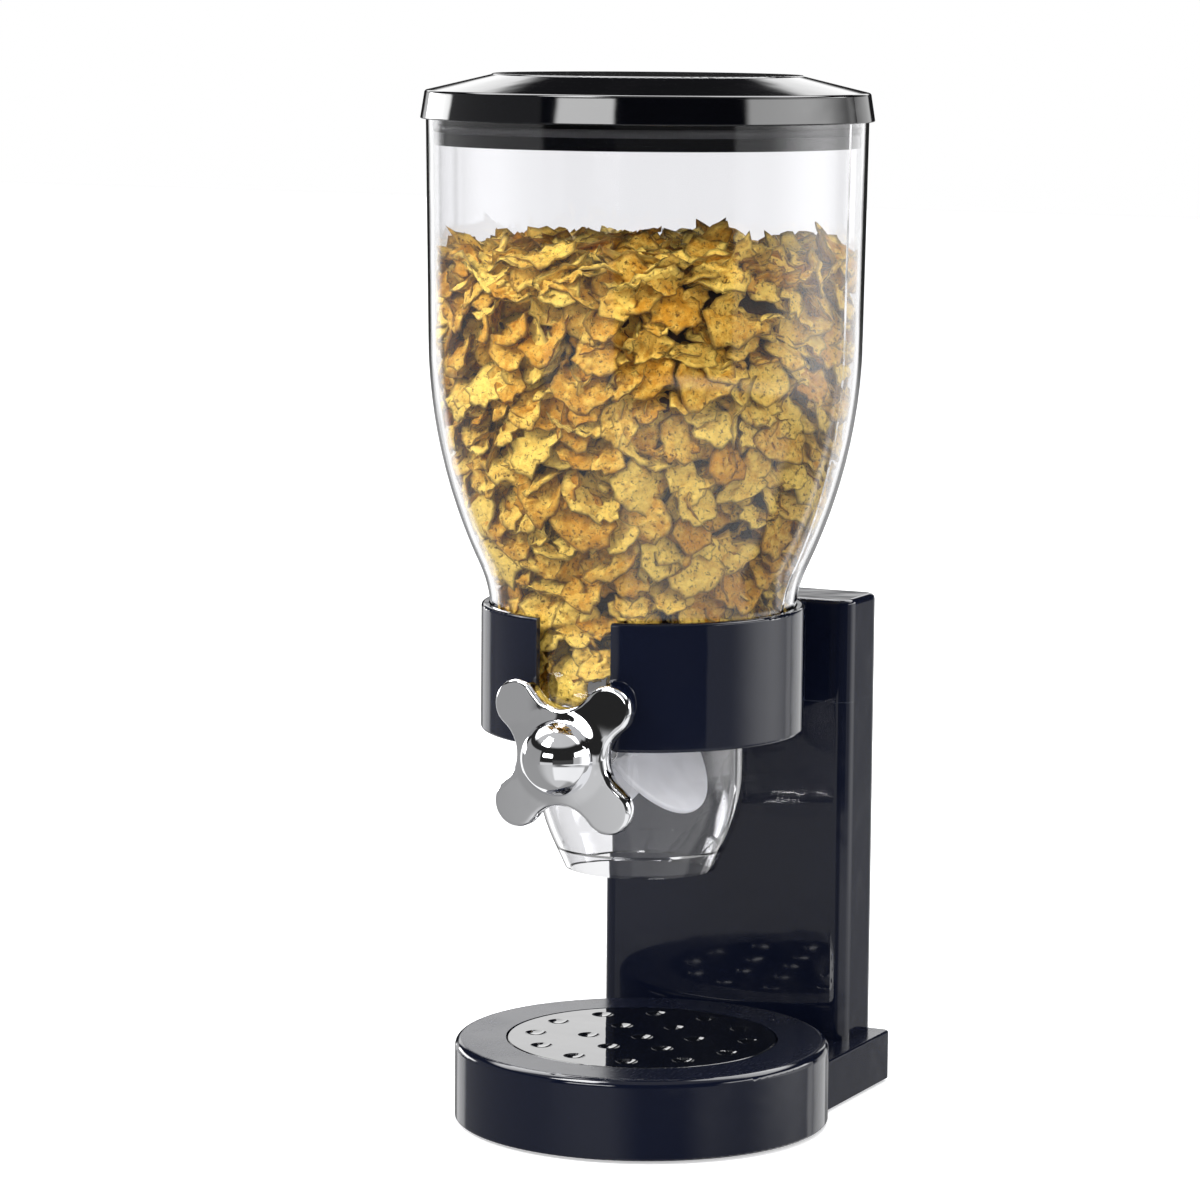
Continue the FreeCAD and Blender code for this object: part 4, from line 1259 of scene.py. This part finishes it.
# ------------------------------------------------------------------ studio
@dataclass(frozen=True)
class Panel:
    """A soft bright or dark panel of the studio, seen only in reflections.

    Angles are in degrees: azimuth from -Y towards +X, elevation up from the horizon. Each edge
    fades over twice soft, and the upright edges over twice side_soft where that is given.
    """

    azimuth: Span
    elevation: Span
    light: float
    soft: float = 4.0
    side_soft: float | None = None


@dataclass(frozen=True)
class Lamp:
    """A round soft lamp, aimed at the middle of the object, in metres and watts."""

    name: str
    place: tuple[float, float, float]
    size: float
    power: float


@dataclass
class Studio:
    """Camera, floor, lamps and the surroundings that polished pieces mirror."""

    azimuth: float = 26.0
    elevation: float = 7.54
    roll: float = 0.46
    distance: float = 1.708
    lens: float = 136.8
    aim_height: float = 0.200
    aim_right: float = -0.01615
    aim_up: float = -0.00093
    sensor_width: float = 36.0
    view_depth: float = 60.0
    floor_size: float = 14.0
    floor_steps: int = 8
    horizon: float = -5.5
    horizon_soft: float = 2.0
    light_below: float = 0.34
    light_above: float = 0.02
    ambient: Colour = (0.66, 0.66, 0.68)
    lamps: tuple[Lamp, ...] = (
        Lamp("key_lamp", (-0.9, -1.5, 1.5), 0.8, 30.0),
        Lamp("fill_lamp", (1.5, -1.2, 0.9), 1.0, 10.0),
        Lamp("top_lamp", (0.1, 0.3, 1.9), 1.0, 14.0),
        Lamp("back_lamp", (-0.6, 1.7, 1.2), 1.0, 16.0),
    )
    panels: tuple[Panel, ...] = (
        Panel((-26, 75), (-100, -12.5), 0.62, 1.5, 20.0),
        Panel((9, 115), (-60, -18), 1.0, 4.0),
        Panel((15, 60), (-17, -11), 0.12, 2.5, 12.0),
        Panel((-30.5, 9), (-12.5, -5.5), 0.70, 1.5),
        Panel((40, 112), (-12.8, -10.2), 1.2, 0.8, 10.0),
        Panel((9, 72), (-10.2, 2), 0.06, 0.8),
        Panel((-104, -30.5), (-12.5, 24), 0.34, 1.5),
        Panel((-132, -104), (-12.5, 0), 0.25, 2.0),
        Panel((-134, -114), (-60, 7), 1.3, 3.0),
        Panel((72, 154), (-10.2, 9), 0.50, 1.5),
        Panel((104, 142), (-13, 9), 2.1, 5.0, 16.0),
        Panel((149, 154), (-45, 9), 1.25, 2.0),
        Panel((160, 200), (-60, 7), 1.3, 3.0),
        Panel((-200, -178), (-60, 7), 1.3, 2.0),
        Panel((-21.5, 8), (9.5, 19), 14.0, 1.5),
        Panel((78, 150), (9.5, 19), 8.0, 2.5),
        Panel((-126, -96), (1, 10), 9.0, 2.0),
        Panel((-176, -134), (8, 20), 1.9, 2.0),
        Panel((-200, 200), (40, 100), 0.6, 4.0),
        Panel((-42, -8), (40, 66), 28.0, 2.0),
        Panel((-200, -84), (38, 74), 8.0, 4.0, 12.0),
        Panel((110, 200), (38, 74), 8.0, 4.0, 12.0),
    )

    def build(self) -> None:
        """Builds the whole studio."""
        self.place_camera()
        self.build_floor()
        self.build_lamps()
        self.build_surroundings()
        bpy.context.scene.view_settings.view_transform = "Standard"
        log.info("studio built")

    def place_camera(self) -> None:
        """Places the camera and makes it the scene's."""
        low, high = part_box("lid_top")
        turn, tilt, roll = (math.radians(a) for a in (self.azimuth, self.elevation, self.roll))
        back = Vector((math.sin(turn) * math.cos(tilt), -math.cos(turn) * math.cos(tilt),
                       math.sin(tilt)))
        right = Vector((math.cos(turn), math.sin(turn), 0.0))
        up = back.cross(right)
        aim = Vector(((low.x + high.x) / 2, (low.y + high.y) / 2, self.aim_height))
        aim += right * self.aim_right + up * self.aim_up
        across = right * math.cos(roll) + up * math.sin(roll)
        upward = up * math.cos(roll) - right * math.sin(roll)
        data = bpy.data.cameras.new("camera")
        data.lens, data.sensor_width = self.lens, self.sensor_width
        data.clip_end = self.view_depth
        camera = bpy.data.objects.new("camera", data)
        bpy.context.scene.collection.objects.link(camera)
        turned = Matrix((across, upward, back)).transposed().to_4x4()
        camera.matrix_world = Matrix.Translation(aim + back * self.distance) @ turned
        bpy.context.scene.camera = camera

    def build_floor(self) -> None:
        """Builds the plain floor."""
        row = self.floor_steps + 1
        edge = np.linspace(-self.floor_size / 2, self.floor_size / 2, row)
        grid = np.array([[x, y, 0.0] for y in edge for x in edge])
        faces = [(i + j * row, i + 1 + j * row, i + 1 + (j + 1) * row, i + (j + 1) * row)
                 for j in range(self.floor_steps) for i in range(self.floor_steps)]
        floor = mesh_object("studio_floor", grid, faces, FLOOR)
        floor.visible_glossy = False
        floor.visible_transmission = False

    def build_lamps(self) -> None:
        """Builds the soft lamps."""
        middle = Vector((0.0, 0.0, self.aim_height))
        for lamp in self.lamps:
            data = bpy.data.lights.new(lamp.name, "AREA")
            data.shape, data.size, data.energy = "DISK", lamp.size, lamp.power
            obj = bpy.data.objects.new(lamp.name, data)
            bpy.context.scene.collection.objects.link(obj)
            obj.location = lamp.place
            aim = middle - Vector(lamp.place)
            obj.rotation_euler = aim.to_track_quat("-Z", "Y").to_euler()
            obj.visible_glossy = False

    def build_surroundings(self) -> None:
        """Builds the world: plain white in view, a studio of soft panels in reflections."""
        world = bpy.data.worlds.new("studio")
        bpy.context.scene.world = world
        world.use_nodes = True
        sheet = Sheet(world.node_tree)
        way = sheet.add("ShaderNodeSeparateXYZ",
                        {0: sheet.add("ShaderNodeTexCoord").outputs["Generated"]})
        azimuth = sheet.maths("DEGREES", sheet.maths(
            "ARCTAN2", way.outputs["X"], sheet.product(way.outputs["Y"], -1.0)))
        elevation = sheet.maths("DEGREES", sheet.maths("ARCSINE", way.outputs["Z"]))
        studio = sheet.step(elevation, self.horizon - self.horizon_soft,
                            self.horizon + self.horizon_soft, self.light_below,
                            self.light_above)
        for panel in self.panels:
            inside = sheet.product(*(
                sheet.product(sheet.step(angle, span[0] - soft, span[0] + soft),
                              sheet.step(angle, span[1] - soft, span[1] + soft, 1.0, 0.0))
                for angle, span, soft in (
                    (azimuth, panel.azimuth, panel.side_soft or panel.soft),
                    (elevation, panel.elevation, panel.soft))))
            gain = sheet.product(inside, sheet.maths("SUBTRACT", panel.light, studio))
            studio = sheet.maths("ADD", studio, gain)
        path = sheet.add("ShaderNodeLightPath")
        lit = sheet.step(path.outputs["Diffuse Depth"], 0.4, 0.6)
        met = sheet.step(sheet.maths("ADD", path.outputs["Diffuse Depth"],
                                     path.outputs["Glossy Depth"]), 0.4, 0.6)
        around = sheet.mix(lit, studio, self.ambient)
        colour = sheet.mix(met, WHITE, around)
        sheet.feed(world.node_tree.nodes["Background"].inputs["Color"], colour)


def main() -> None:
    """Builds the studio, dresses the frame and builds the pieces around it."""
    logging.basicConfig(level=logging.INFO, format="%(name)s: %(message)s")
    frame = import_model()
    nodes = frame["nodes"]
    Studio().build()
    for group in (Stand(), Tray(), Canister(), Lid()):
        group.dress(nodes)
    rotor = Rotor()
    rotor.dress(nodes)
    rotor.build()
    CerealFill().build(nodes)


if __name__ == "__main__":
    main()
